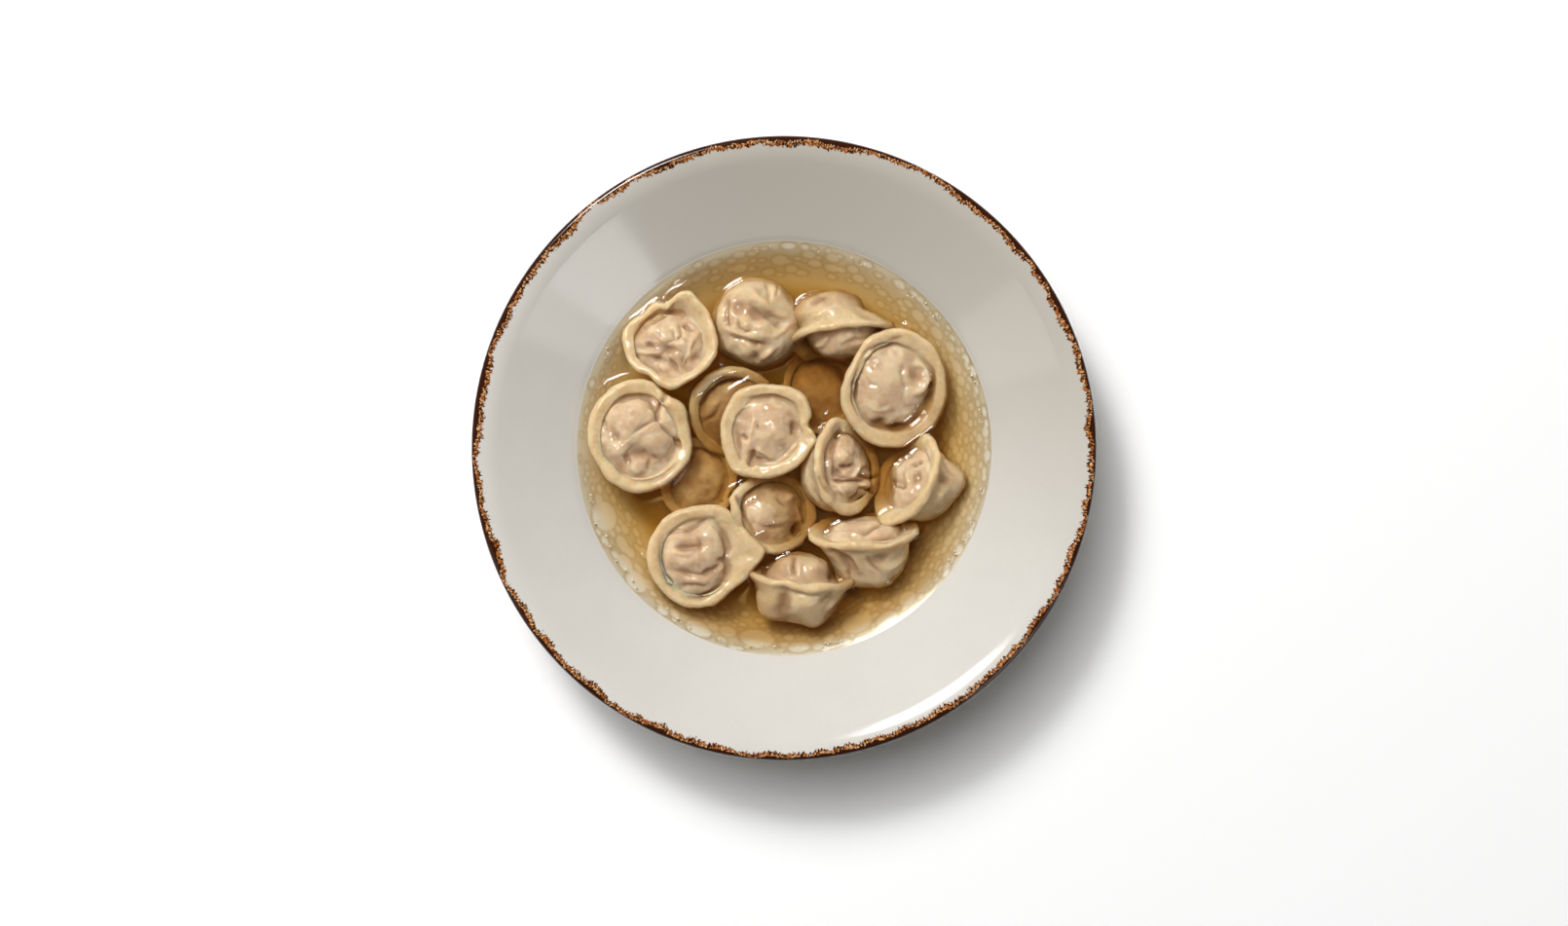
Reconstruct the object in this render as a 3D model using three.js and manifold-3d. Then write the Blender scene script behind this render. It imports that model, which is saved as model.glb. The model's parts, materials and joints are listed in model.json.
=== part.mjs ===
// A wide-brimmed soup bowl of lamb pelmeni in clear broth: the glazed bowl, the broth filled to its
// level, and the boiled dumplings that break its surface, each one closed solid. Each dumpling is a
// ball of filling in thin dough with a thick pinched brim of dough standing round it, so its section
// runs from the dome of its face over the brim to its round belly. They lie as they settled: face
// up, belly up or on edge. Millimetres, +Z up, origin under the middle of the foot ring.
import * as THREE from "three";
import { mergeVertices } from "three/addons/utils/BufferGeometryUtils.js";
import Module from "manifold-3d";

const wasm = await Module();
wasm.setup();

// The bowl: its food side is a flat floor, a hollow well, a short straight wall, a soft shoulder, a
// straight brim and a lip that rolls over to nearly level. Slopes are degrees above level, outwards.
const FLOOR_RADIUS = 51.5;
const FLOOR_HEIGHT = 8.6;
const WELL_CURVE = 26;
const WALL_SLOPE = 48;
const WALL_LENGTH = 9.6;
const SHOULDER_CURVE = 22;
const BRIM_SLOPE = 27;
const BRIM_LENGTH = 29.7;
const LIP_CURVE = 25.4;
const LIP_SLOPE = 8;
const LIP_THICKNESS = 3.4;
const WALL_THICKNESS = 4.8;
const FOOT_OUTER_RADIUS = 50;
const FOOT_WIDTH = 5.5;
const FOOT_CHAMFER = 0.8;
const FOOT_RECESS = 3.4;
const BOWL_SIDES = 60;

// The broth stands part of the way up the shoulder, and every piece keeps a hair's gap to the next.
// DETAIL and SOCKET_DETAIL are how far a cut surface may move as its small faces are joined up, and
// points closer than WELD are one.
const BROTH_HEIGHT = 26.9;
const GAP = 0.55;
const DETAIL = 0.3;
const SOCKET_DETAIL = 0.42;
const WELD = 0.001;

// A usual dumpling. Angles are degrees; a lump or a corner is [angle, ..., width, millimetres].
const USUAL = {
  radius: 19.5, // out to the edge of the brim
  oval: [0, 0], // share by which it is longer, and along which angle
  corners: [], // [angle, width, mm] where the brim is pulled out or pinched in
  waves: [], // [angle, width, mm] where the brim rises or droops
  dome: 12.6, // radius of the face inside the brim
  domeAt: [0, 0],
  domeHeight: 7,
  grooveHeight: 0.8,
  lift: 3.2, // how far the brim's edge stands above the groove
  thickness: 3,
  belly: 13.5,
  bellyAt: [0, 0],
  bellyHeight: 10,
  lumps: [], // [angle, angle down from the face, width, mm]
};
const AROUND = 18;

// How the section of every dumpling is shared out. The face and the belly are listed as shares of
// their own radius and height, the face with a share of the groove's height too, and the brim as
// thicknesses in from its edge and down from its top.
const FACE = [
  [0, 1, 0],
  [0.42, 0.93, 0],
  [0.74, 0.7, 0],
  [0.95, 0.28, 0.4],
];
const BRIM = [
  [0.95, 0],
  [0.4, -0.12],
  [0, 0.4],
  [0.35, 1.05],
];
const BELLY = [
  [1, 0.36],
  [0.82, 0.72],
  [0.46, 0.95],
  [0, 1],
];
const GROOVE_WIDTH = 0.4;
const FLANGE_SHARE = 0.55;
const NECK_SHARE = 0.35;
const NECK_DROP = 0.95;
const FACE_SWELL = 0.7; // how much of the brim's oval the face follows
const BELLY_SWELL = 0.6;

// Where each dumpling lies: at is the middle of its brim, facing is the way its face leans and tilt
// how far it leans. The first in the list lie on top, and the later ones give way to them.
const PELMENI = [
  {
    name: "pelmen_centre",
    at: [-6.3, 6.5, 27.8],
    facing: 120,
    tilt: 4,
    radius: 18.3,
    corners: [
      [-11, 8, 1.6],
      [8, 11, -2.2],
      [48, 24, 1.5],
      [128, 26, 1],
      [230, 26, 2],
    ],
    waves: [
      [-50, 30, 1.4],
      [60, 30, 0.6],
      [170, 30, -0.5],
    ],
    dome: 12.4,
    domeAt: [-0.4, -0.6],
    domeHeight: 6.2,
    grooveHeight: 1.5,
    lift: 3,
    thickness: 3.8,
    bellyHeight: 13,
    lumps: [
      [60, 40, 32, 1.1],
      [200, 45, 20, -1.6],
      [330, 30, 30, 0.6],
    ],
  },
  {
    name: "pelmen_big_right",
    at: [42.6, 23.4, 26.2],
    facing: -35,
    tilt: 9,
    radius: 22.2,
    oval: [0.06, 85],
    corners: [
      [150, 20, -1.6],
      [190, 22, 0.7],
      [300, 28, -1],
    ],
    waves: [[200, 50, 0.9]],
    dome: 14.9,
    domeAt: [-1.1, 0.6],
    domeHeight: 5.8,
    grooveHeight: 1.5,
    lift: 2.7,
    thickness: 4.2,
    belly: 15.4,
    bellyHeight: 16.2,
    lumps: [
      [5, 55, 22, 1.4],
      [200, 40, 40, 0.7],
    ],
  },
  {
    name: "pelmen_left",
    at: [-56.1, 4.9, 26.9],
    facing: 20,
    tilt: 5,
    radius: 21.2,
    oval: [0.04, 95],
    corners: [
      [58, 13, -2.4],
      [10, 18, -0.7],
      [-22, 18, 0.7],
      [215, 16, -0.8],
      [255, 22, 0.5],
    ],
    waves: [
      [40, 24, 1.8],
      [200, 40, -0.5],
    ],
    dome: 14.8,
    domeAt: [-0.6, -0.6],
    domeHeight: 7.2,
    grooveHeight: 1.9,
    lift: 2.4,
    thickness: 4.4,
    belly: 14.6,
    bellyAt: [1.4, 0],
    bellyHeight: 16.2,
    lumps: [
      [105, 45, 34, 1],
      [-20, 40, 26, 0.9],
      [250, 30, 22, -2],
      [195, 70, 30, 0.6],
    ],
  },
  {
    name: "pelmen_lower_left",
    at: [-32, -41.2, 26.9],
    facing: -60,
    tilt: 5,
    radius: 20.6,
    corners: [
      [3, 12, 4.1],
      [40, 20, -1],
      [103, 24, -1.3],
      [190, 30, 0.8],
      [250, 22, 0.8],
      [309, 20, -2.4],
    ],
    waves: [
      [0, 26, 1.4],
      [110, 40, 0.5],
    ],
    dome: 13.7,
    domeAt: [-2.7, -1.8],
    domeHeight: 7.4,
    grooveHeight: 1.8,
    lift: 2.3,
    thickness: 4.2,
    belly: 14,
    bellyHeight: 15.8,
    lumps: [
      [60, 60, 26, 1],
      [170, 50, 24, 0.8],
      [270, 60, 26, 0.9],
      [10, 20, 16, -0.9],
    ],
  },
  {
    name: "pelmen_upper_left",
    at: [-43.4, 41.2, 27],
    facing: 130,
    tilt: 11,
    radius: 17.9,
    corners: [
      [69, 13, 2.9],
      [45, 14, 0.8],
      [98, 10, -2.3],
      [130, 24, -2],
      [169, 15, 1.7],
      [200, 16, 0.8],
      [238, 12, -1.5],
      [272, 14, 1.3],
      [345, 16, 1],
    ],
    waves: [
      [70, 20, 1.4],
      [240, 30, 0.5],
    ],
    dome: 12.9,
    domeAt: [-1.2, -1.7],
    domeHeight: 5.8,
    grooveHeight: 0.3,
    lift: 4.7,
    thickness: 3,
    belly: 13.2,
    bellyAt: [1.6, -1.4],
    bellyHeight: 13,
    lumps: [
      [190, 55, 22, 1.3],
      [20, 50, 24, 1.2],
      [260, 35, 26, -1],
    ],
  },
  {
    name: "pelmen_right",
    at: [49.6, -12.7, 25.8],
    facing: 154,
    tilt: 50,
    radius: 17,
    oval: [0.07, 64],
    corners: [
      [64, 16, 1.4],
      [244, 18, 2.2],
    ],
    dome: 11,
    domeHeight: 5.6,
    lift: 3,
    thickness: 3.4,
    belly: 13.4,
    bellyAt: [1, 0],
    bellyHeight: 17.6,
    lumps: [
      [16, 118, 24, 4],
      [70, 60, 20, 1.2],
      [200, 50, 20, -1.6],
    ],
  },
  {
    name: "pelmen_top_right",
    at: [22.4, 46.2, 24.4],
    facing: -83,
    tilt: 74,
    radius: 17,
    oval: [0.18, 6],
    corners: [
      [6, 16, 1],
      [186, 14, 0.8],
    ],
    waves: [[218, 26, 4.6]],
    dome: 12,
    domeHeight: 11.6,
    lift: 2.6,
    belly: 13,
    bellyAt: [-3.4, 0],
    bellyHeight: 15.4,
    lumps: [[170, 110, 26, 1.4]],
  },
  {
    name: "pelmen_lower_right",
    at: [31, -34.6, 25.3],
    facing: 93,
    tilt: 63,
    radius: 17.4,
    oval: [0.19, 3],
    corners: [
      [3, 16, 1],
      [183, 16, 1],
    ],
    waves: [[-84, 30, 1]],
    dome: 12.4,
    domeHeight: 6.6,
    lift: 2.8,
    belly: 14,
    bellyAt: [1.6, 0],
    bellyHeight: 19.6,
    lumps: [
      [-55, 125, 26, 1.7],
      [-125, 130, 24, 0.8],
      [-105, 118, 14, -1.4],
    ],
  },
  {
    name: "pelmen_bottom",
    at: [6.4, -52.2, 25],
    facing: 84,
    tilt: 73,
    radius: 17,
    oval: [0.17, -6],
    corners: [
      [-6, 16, 1],
      [174, 16, 1.2],
    ],
    dome: 12,
    domeHeight: 11.4,
    lift: 2.8,
    belly: 14.4,
    bellyHeight: 15.4,
    lumps: [
      [-55, 140, 22, 2.4],
      [200, 125, 24, 3],
      [-100, 135, 14, -1.6],
    ],
  },
  {
    name: "pelmen_inner_right",
    at: [22.6, -8, 25],
    facing: 9,
    tilt: 39,
    radius: 17.6,
    oval: [0.06, 99],
    corners: [
      [108, 14, 1.8],
      [-50, 24, -1.2],
    ],
    waves: [[180, 50, 0.8]],
    dome: 12,
    domeHeight: 7,
    lift: 3.4,
    thickness: 3.8,
    belly: 13.6,
    bellyAt: [-1, -2],
    bellyHeight: 15,
    lumps: [
      [90, 50, 24, 1.7],
      [-40, 55, 24, 1.5],
      [200, 30, 18, -1.6],
    ],
  },
  {
    name: "pelmen_top",
    at: [-10.2, 49.2, 21.4],
    facing: 200,
    tilt: 170,
    radius: 17.6,
    oval: [0.05, 90],
    corners: [[10, 16, 2.6]],
    dome: 12,
    domeHeight: 5.6,
    lift: 1.6,
    thickness: 2.8,
    belly: 16.6,
    bellyHeight: 12,
    lumps: [
      [100, 150, 26, 1.4],
      [270, 130, 24, 1.4],
      [200, 150, 22, -1.6],
      [330, 140, 22, 1.1],
    ],
  },
  {
    name: "pelmen_below_centre",
    at: [-4.9, -25.4, 21.9],
    facing: 20,
    tilt: 16,
    radius: 16.6,
    oval: [0.05, 0],
    corners: [
      [160, 14, 1.2],
      [270, 30, 0.6],
    ],
    waves: [[170, 34, 1.6]],
    dome: 12.2,
    domeHeight: 5.2,
    grooveHeight: 1.6,
    lift: 2.6,
    thickness: 3.4,
    belly: 12.6,
    bellyHeight: 12.1,
    lumps: [[60, 45, 30, 1.1]],
  },
  {
    name: "pelmen_behind_centre",
    at: [-20.4, 14.8, 19.2],
    facing: -50,
    tilt: 13,
    radius: 17.8,
    corners: [[100, 30, 0.4]],
    waves: [[110, 50, 1.2]],
    dome: 12.4,
    domeHeight: 4.6,
    grooveHeight: 1.2,
    lift: 3,
    thickness: 3.8,
    belly: 12.4,
    bellyHeight: 9.5,
  },
];

const material = (colour, roughness) =>
  new THREE.MeshStandardMaterial({ color: colour, roughness, metalness: 0 });
const GLAZE = material(0xe2dfd8, 0.12);
const BROTH = material(0xb8893f, 0.08);
const DOUGH = material(0xd9b988, 0.3);

const toRadians = THREE.MathUtils.degToRad;

// A walk along a section. Its points say where it has been, with the slope there in degrees.
function walk(start) {
  const points = [{ at: start.clone(), slope: 0 }];
  const last = () => points[points.length - 1].at;
  return {
    points,
    straight(slope, length) {
      const step = new THREE.Vector2(Math.cos(toRadians(slope)), Math.sin(toRadians(slope)));
      points.push({ at: last().clone().addScaledVector(step, length), slope });
    },
    arc(radius, from, to, steps) {
      const foot = last().clone();
      const turn = Math.sign(to - from) * radius;
      for (let i = 1; i <= steps; i++) {
        const slope = from + ((to - from) * i) / steps;
        const across = Math.sin(toRadians(slope)) - Math.sin(toRadians(from));
        const up = Math.cos(toRadians(from)) - Math.cos(toRadians(slope));
        const at = foot.clone().add(new THREE.Vector2(across, up).multiplyScalar(turn));
        points.push({ at, slope });
      }
    },
  };
}

// The food side of the bowl from the middle of the floor out to the start of the lip.
function foodSide() {
  const way = walk(new THREE.Vector2(0, FLOOR_HEIGHT));
  way.straight(0, FLOOR_RADIUS);
  way.arc(WELL_CURVE, 0, WALL_SLOPE, 4);
  way.straight(WALL_SLOPE, WALL_LENGTH);
  way.arc(SHOULDER_CURVE, WALL_SLOPE, BRIM_SLOPE, 2);
  way.straight(BRIM_SLOPE, BRIM_LENGTH);
  way.arc(LIP_CURVE, BRIM_SLOPE, LIP_SLOPE, 3);
  return way.points;
}

// A point of the food side moved square to it: down through the wall, or up if depth is negative.
function sunk({ at, slope }, depth) {
  return new THREE.Vector2(
    at.x + depth * Math.sin(toRadians(slope)),
    at.y - depth * Math.cos(toRadians(slope)),
  );
}

// Revolves a section that is listed from the axis under the solid, round its edge, to the axis on top.
function revolved(section) {
  return new THREE.LatheGeometry(section, BOWL_SIDES).rotateX(Math.PI / 2);
}

function bowlGeometry() {
  const top = foodSide();
  const lip = walk(top[top.length - 1].at);
  lip.arc(LIP_THICKNESS / 2, LIP_SLOPE, LIP_SLOPE - 180, 4);
  const footInner = FOOT_OUTER_RADIUS - FOOT_WIDTH;
  const foot = [
    [0, FOOT_RECESS],
    [footInner - FOOT_CHAMFER, FOOT_RECESS],
    [footInner, FOOT_RECESS - FOOT_CHAMFER],
    [footInner + FOOT_CHAMFER, 0],
    [FOOT_OUTER_RADIUS - FOOT_CHAMFER, 0],
    [FOOT_OUTER_RADIUS, FOOT_CHAMFER],
    [FOOT_OUTER_RADIUS + FOOT_CHAMFER, FOOT_RECESS],
  ].map(([radius, height]) => new THREE.Vector2(radius, height));
  const edge = top[top.length - 1].at.x;
  const underside = top
    .filter(({ at }) => at.x > FOOT_OUTER_RADIUS + FOOT_CHAMFER)
    .filter((point, i, points) => i % 2 === 0 && i < points.length - 1)
    .map((point) => {
      const share = (point.at.x - FOOT_OUTER_RADIUS) / (edge - FOOT_OUTER_RADIUS);
      return sunk(point, THREE.MathUtils.lerp(WALL_THICKNESS, LIP_THICKNESS, share));
    });
  const round = lip.points.map(({ at }) => at).reverse();
  const food = top.slice(0, -1).map(({ at }) => at);
  return revolved([...foot, ...underside, ...round, ...food.reverse()]);
}

// The broth lies a gap above the bowl's food side, up to its level.
function brothGeometry() {
  const bed = foodSide().map((point) => sunk(point, -GAP));
  bed[0].x = 0;
  const above = bed.findIndex((point) => point.y > BROTH_HEIGHT);
  const [low, high] = [bed[above - 1], bed[above]];
  const shore = low.clone().lerp(high, (BROTH_HEIGHT - low.y) / (high.y - low.y));
  return revolved([...bed.slice(0, above), shore, new THREE.Vector2(0, BROTH_HEIGHT)]);
}

// 1 where the angle is the centre's, falling off over the width either side of it.
function near(angle, centre, width) {
  const apart = ((((angle - centre) % 360) + 540) % 360) - 180;
  return Math.exp(-((apart / width) ** 2));
}

// The section of a dumpling at one angle: [radius, height] from the top of its face to its underside.
function section(pelmen, angle) {
  const [stretch, along] = pelmen.oval;
  const swell = stretch * Math.cos(2 * toRadians(angle - along));
  const total = (bumps) => bumps.reduce((sum, [at, width, mm]) => sum + mm * near(angle, at, width), 0);
  const edge = pelmen.radius * (1 + swell) + total(pelmen.corners);
  const dome = pelmen.dome * (1 + FACE_SWELL * swell);
  const belly = pelmen.belly * (1 + BELLY_SWELL * swell);
  const { domeHeight, grooveHeight, thickness, bellyHeight } = pelmen;
  const top = grooveHeight + pelmen.lift + total(pelmen.waves);
  const flange = THREE.MathUtils.lerp(dome, edge, FLANGE_SHARE) - thickness / 2;
  const neck = THREE.MathUtils.lerp(belly, edge, NECK_SHARE);
  return [
    ...FACE.map(([out, up, groove]) => [out * dome, up * domeHeight + groove * grooveHeight]),
    [dome + GROOVE_WIDTH, grooveHeight],
    [flange, (grooveHeight + top) / 2],
    ...BRIM.map(([inwards, down]) => [edge - inwards * thickness, top - down * thickness]),
    [neck, grooveHeight - NECK_DROP * thickness],
    ...BELLY.map(([out, down]) => [out * belly, -down * bellyHeight]),
  ];
}
const STATIONS = FACE.length + BRIM.length + BELLY.length + 3; // with the groove, flange and neck
const GROOVE_STATION = FACE.length;
const BELLY_STATION = STATIONS - BELLY.length;

// How strongly lumps push a station: fully on the face and the belly, not at all on the brim.
function softness(station) {
  if (station < GROOVE_STATION) return 1;
  return station >= BELLY_STATION ? 1 : 0;
}

// How far a station lies off the middle: the face and the belly can sit to one side.
function shift(pelmen, station) {
  if (station <= GROOVE_STATION) return pelmen.domeAt;
  return station >= BELLY_STATION ? pelmen.bellyAt : [0, 0];
}

// A dumpling as a sphere whose rings are moved to the stations of its section, grown by a skin.
function pelmenGeometry(pelmen, skin = 0) {
  const geometry = new THREE.SphereGeometry(1, AROUND, STATIONS - 1).rotateX(Math.PI / 2);
  const points = geometry.getAttribute("position");
  const core = new THREE.Vector3(0, 0, 0.5 * (pelmen.domeHeight - pelmen.bellyHeight));
  const perRing = AROUND + 1;
  for (let i = 0; i < points.count; i++) {
    const station = Math.floor(i / perRing);
    const angle = (360 * (i % perRing)) / AROUND + 180;
    const [radius, height] = section(pelmen, angle)[station];
    const [shiftX, shiftY] = shift(pelmen, station);
    const point = new THREE.Vector3(
      radius * Math.cos(toRadians(angle)) + shiftX,
      radius * Math.sin(toRadians(angle)) + shiftY,
      height,
    );
    const out = point.clone().sub(core).normalize();
    const push = pelmen.lumps.reduce((sum, [around, down, width, mm]) => {
      const way = new THREE.Vector3().setFromSphericalCoords(1, toRadians(down), 0);
      const [flat, up] = [way.z, way.y];
      const [c, s] = [Math.cos(toRadians(around)), Math.sin(toRadians(around))];
      const apart = THREE.MathUtils.radToDeg(out.angleTo(new THREE.Vector3(flat * c, flat * s, up)));
      return sum + mm * Math.exp(-((apart / width) ** 2));
    }, 0);
    point.addScaledVector(out, push * softness(station));
    points.setXYZ(i, point.x, point.y, point.z);
  }
  if (!skin) return geometry;
  const merged = welded(geometry);
  merged.computeVertexNormals();
  const [vertices, normals] = [merged.getAttribute("position"), merged.getAttribute("normal")];
  for (let i = 0; i < vertices.count; i++) {
    const point = new THREE.Vector3().fromBufferAttribute(vertices, i);
    point.addScaledVector(new THREE.Vector3().fromBufferAttribute(normals, i), skin);
    vertices.setXYZ(i, point.x, point.y, point.z);
  }
  return merged;
}

// Only positions, with the shared vertices merged and the triangles that collapsed at the poles dropped.
function welded(geometry) {
  const bare = new THREE.BufferGeometry();
  bare.setAttribute("position", geometry.getAttribute("position").clone());
  bare.setIndex(geometry.index);
  const merged = mergeVertices(bare, WELD);
  const index = merged.index.array;
  const kept = [];
  for (let i = 0; i < index.length; i += 3) {
    const [a, b, c] = [index[i], index[i + 1], index[i + 2]];
    if (a !== b && b !== c && a !== c) kept.push(a, b, c);
  }
  merged.setIndex(kept);
  return merged;
}

function solid(geometry) {
  const merged = welded(geometry);
  return new wasm.Manifold(
    new wasm.Mesh({
      numProp: 3,
      vertProperties: merged.getAttribute("position").array,
      triVerts: new Uint32Array(merged.index.array),
    }),
  );
}

// The largest body of a solid as a geometry, without the scraps that a cut leaves.
function geometryOf(cut) {
  const bodies = cut.decompose().sort((a, b) => b.volume() - a.volume());
  const mesh = bodies[0].getMesh();
  const geometry = new THREE.BufferGeometry();
  geometry.setAttribute("position", new THREE.BufferAttribute(mesh.vertProperties, 3));
  geometry.setIndex(new THREE.BufferAttribute(mesh.triVerts, 1));
  geometry.computeVertexNormals();
  return geometry;
}

// How a dumpling lies: its face leans by the tilt towards the way it faces, without turning round.
function placement(pelmen) {
  const facing = toRadians(pelmen.facing);
  const axis = new THREE.Vector3(-Math.sin(facing), Math.cos(facing), 0);
  const lean = new THREE.Quaternion().setFromAxisAngle(axis, toRadians(pelmen.tilt));
  return { position: new THREE.Vector3(...pelmen.at), lean };
}

const group = new THREE.Group();

function add(name, geometry, finish) {
  const mesh = new THREE.Mesh(geometry, finish);
  mesh.name = name;
  group.add(mesh);
  return mesh;
}

add("bowl", bowlGeometry(), GLAZE);

let above = null;
for (const unusual of PELMENI) {
  const pelmen = { ...USUAL, ...unusual };
  const { position, lean } = placement(pelmen);
  const place = new THREE.Matrix4().compose(position, lean, new THREE.Vector3(1, 1, 1));
  const grown = solid(pelmenGeometry(pelmen, GAP).applyMatrix4(place));
  let shape = solid(pelmenGeometry(pelmen).applyMatrix4(place));
  if (above) shape = shape.subtract(above);
  above = above ? above.add(grown) : grown;
  const own = geometryOf(shape.simplify(DETAIL)).applyMatrix4(place.clone().invert());
  const mesh = add(pelmen.name, own, DOUGH);
  mesh.position.copy(position);
  mesh.quaternion.copy(lean);
}

const sockets = above.simplify(SOCKET_DETAIL);
add("broth", geometryOf(solid(brothGeometry()).subtract(sockets).simplify(DETAIL)), BROTH);

export default group;
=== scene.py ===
"""The looks of a bowl of lamb pelmeni: a glazed stoneware bowl with a speckled rim, clear amber broth
with drops of fat, and boiled dumplings that break its surface. Lengths below are millimetres until a
mesh is made, and the frame is the solid model's: +Z up, origin under the middle of the foot ring."""

import json
import math

import bpy
import numpy as np
from bpy.props import FloatProperty, FloatVectorProperty, PointerProperty
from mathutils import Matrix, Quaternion, Vector
from mathutils.kdtree import KDTree

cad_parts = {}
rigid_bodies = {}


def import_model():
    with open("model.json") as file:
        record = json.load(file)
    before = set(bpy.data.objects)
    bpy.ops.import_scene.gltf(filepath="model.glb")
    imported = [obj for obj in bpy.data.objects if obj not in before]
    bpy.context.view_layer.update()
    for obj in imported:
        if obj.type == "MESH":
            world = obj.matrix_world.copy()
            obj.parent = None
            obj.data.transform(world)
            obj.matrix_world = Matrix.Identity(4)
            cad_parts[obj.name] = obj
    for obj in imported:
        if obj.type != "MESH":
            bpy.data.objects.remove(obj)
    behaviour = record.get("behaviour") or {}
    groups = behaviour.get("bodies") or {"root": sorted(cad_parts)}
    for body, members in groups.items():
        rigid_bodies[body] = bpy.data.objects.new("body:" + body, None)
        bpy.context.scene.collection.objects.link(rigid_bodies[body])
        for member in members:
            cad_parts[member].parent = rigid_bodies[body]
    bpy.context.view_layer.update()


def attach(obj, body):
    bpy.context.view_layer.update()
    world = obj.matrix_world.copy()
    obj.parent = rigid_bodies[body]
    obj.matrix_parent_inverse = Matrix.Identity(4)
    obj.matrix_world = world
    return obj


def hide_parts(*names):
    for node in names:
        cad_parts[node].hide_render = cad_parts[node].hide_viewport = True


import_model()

bl_info = {
    "name": "Bowl of lamb pelmeni",
    "version": (1, 0, 0),
    "blender": (4, 5, 0),
    "location": "3D View > Sidebar > Pelmeni",
    "description": "Builds a bowl of pelmeni in broth over its solid model",
    "category": "Object",
}

MM = 0.001
TAU = math.tau
WHITE = (1.0, 1.0, 1.0, 1.0)

# The bowl's food side and foot, as in the solid model. Slopes are degrees above level, going outwards.
FLOOR_RADIUS = 51.5
FLOOR_HEIGHT = 8.6
WELL_CURVE = 26
WALL_SLOPE = 48
WALL_LENGTH = 9.6
SHOULDER_CURVE = 22
BRIM_SLOPE = 27
BRIM_LENGTH = 29.7
LIP_CURVE = 25.4
LIP_SLOPE = 8
LIP_THICKNESS = 3.4
WALL_THICKNESS = 4.8
FOOT_OUTER_RADIUS = 50
FOOT_WIDTH = 5.5
FOOT_CHAMFER = 0.8
FOOT_RECESS = 3.4
BROTH_HEIGHT = 26.9
BOWL_SIDES = 384
BOWL_STEPS = 12
LIP_STEPS = 16
UNDERSIDE_STEP = 3  # its underside follows every third point of the food side

# Which side of the bowl the glaze is painted a little darker and warmer on: painted shade.
SHADED_SIDE = (0.5, 0.87, 0)

# The way across the bowl along which the bed under the broth is painted darker towards both ends: painted
# shade.
BED_SHADE_WAY = (0.2, -0.98, 0)

# Mottling in a material: blobs a metre, coarse and fine, and the share of the fine ones.
GLAZE_MOTTLE = (60, 700, 0.35)
DOUGH_MOTTLE = (160, 700, 0.4)
FAT_MOTTLE = (90, 900, 0.5)
MOTTLE_ENDS = (0.3, 0.7)  # of the noise, where the mottling's value is 0 and 1
GLAZE_DARKEST = 0.97
FAT_DARKEST = 0.85

# How the glaze changes over the bowl. A ramp gives where it starts and ends, in metres, and its values
# there if they aren't 0 and 1.
FACES_UP = (0, 0.3)  # over the upward share of its normal
WITHIN_SHORE = (0.0825, 0.0822)  # over the radius
UNDER_BROTH = (0.0805, 0.0795)
# Where the painted shade on one side of the glaze starts and where it is whole.
SHADE_DEEPENS = (-0.02, 0.11)  # towards SHADED_SIDE
FILM_FADES = (0.0011, 0.0002)  # over the height above the broth
# A painted light band on the glaze at the shore: where it ends, and how much lighter it is.
SHORE_LIGHT_ENDS = (0.0009, 0.0005)
SHORE_PAINTED_LIGHT = 0.16
STEEPING = (-0.0006, -0.0052)
# Painted shade on the bed: where it starts and where it is whole, towards each end of that way.
BED_SHADE_NEAR = (0.036, 0.07)  # along BED_SHADE_WAY
BED_SHADE_FAR = (-0.05, -0.08, 0, 0.6)
# Below these heights the bed is darker and more amber: partly the broth's depth, partly painted shade in the
# gaps between the dumplings.
BED = (0.0135, 0.0088)  # over the height
BARE_FOOT = (0.0009, 0.0006)
CLAY = (0.52, 0.45, 0.36)
GLAZE_ROUGHNESS = (0.09, 0.75)  # glazed, bare

# The speckled rim: noises of so many blobs a metre, with detail and a shift; how far in metres they move
# its edges; and its ramps over the depth in from the lip, or over the noise where they say flecks.
RIM_NOISES = ((1300, 3, 0), (1500, 2, 3), (1700, 1, 7), (95, 2, 11))
RIM_SQUEEZE = (0.45, 0.45, 1)  # flecks are drawn out from the middle, and drawn together round it
RIM_SPREAD = 0.06
RIM_WANDER = 0.0066
RIM_TEETH = 0.0046
LIP_TEETH = 0.0024
AMBER_ENDS = (0.0036, 0.0029)
BROWN_AT_LIP = (0.0018, 0.0011, 0, 0.4)
BROWN_INSIDE = (0.0016, 0.003, -0.07, 0.06)
BROWN_FLECKS = (-0.01, 0.06)
PALE_INSIDE = (0.0014, 0.003, 0.06, -0.1)
PALE_FLECKS = (0, 0.12)

# How the dough changes: patches in blobs a metre, and heights in metres above the broth.
PATCH_SCALE = 130
PATCHES = (0.38, 0.62, 0.1, 0.85)  # how much of the filling shows, over the noise
# How dark the hollows are painted: painted shade.
SHADED_HOLLOWS_SHOW = 0.75
ABOVE_BROTH = (-0.0002, 0.0006)
DOUGH_ROUGHNESS = (0.7, 0.32)  # under the broth, above it
DOUGH_COAT = 0.8
DOUGH_LETS_THROUGH = (1.0, 0.76, 0.42)
DOUGH_SHADOW_SHARE = 0.36

# A dumpling's mesh: points round it, rows down it, and the stations of its section that others refer to.
AROUND = 208
ROWS = 104
GROOVE_STATION = 4
EDGE_STATION = 8
BELLY_STATION = 11
GROOVE_FILL = 0.3  # share of the brim's lift by which the groove is filled
DOME_OVAL = 0.7  # share of the brim's oval that the dome and the belly follow
BELLY_OVAL = 0.6

# Folds are listed in plan in millimetres from this point, which is all but the bowl's middle.
FOLDS_FROM = (0.8, -1.3)
FOLD_FACING = (0.05, 0.4)  # folds come in over this upward share of the dough's normal
FOLD_END = 0.02
FLAP_STEP = 0.35  # how far a flap's step reaches either side of its route

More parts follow.
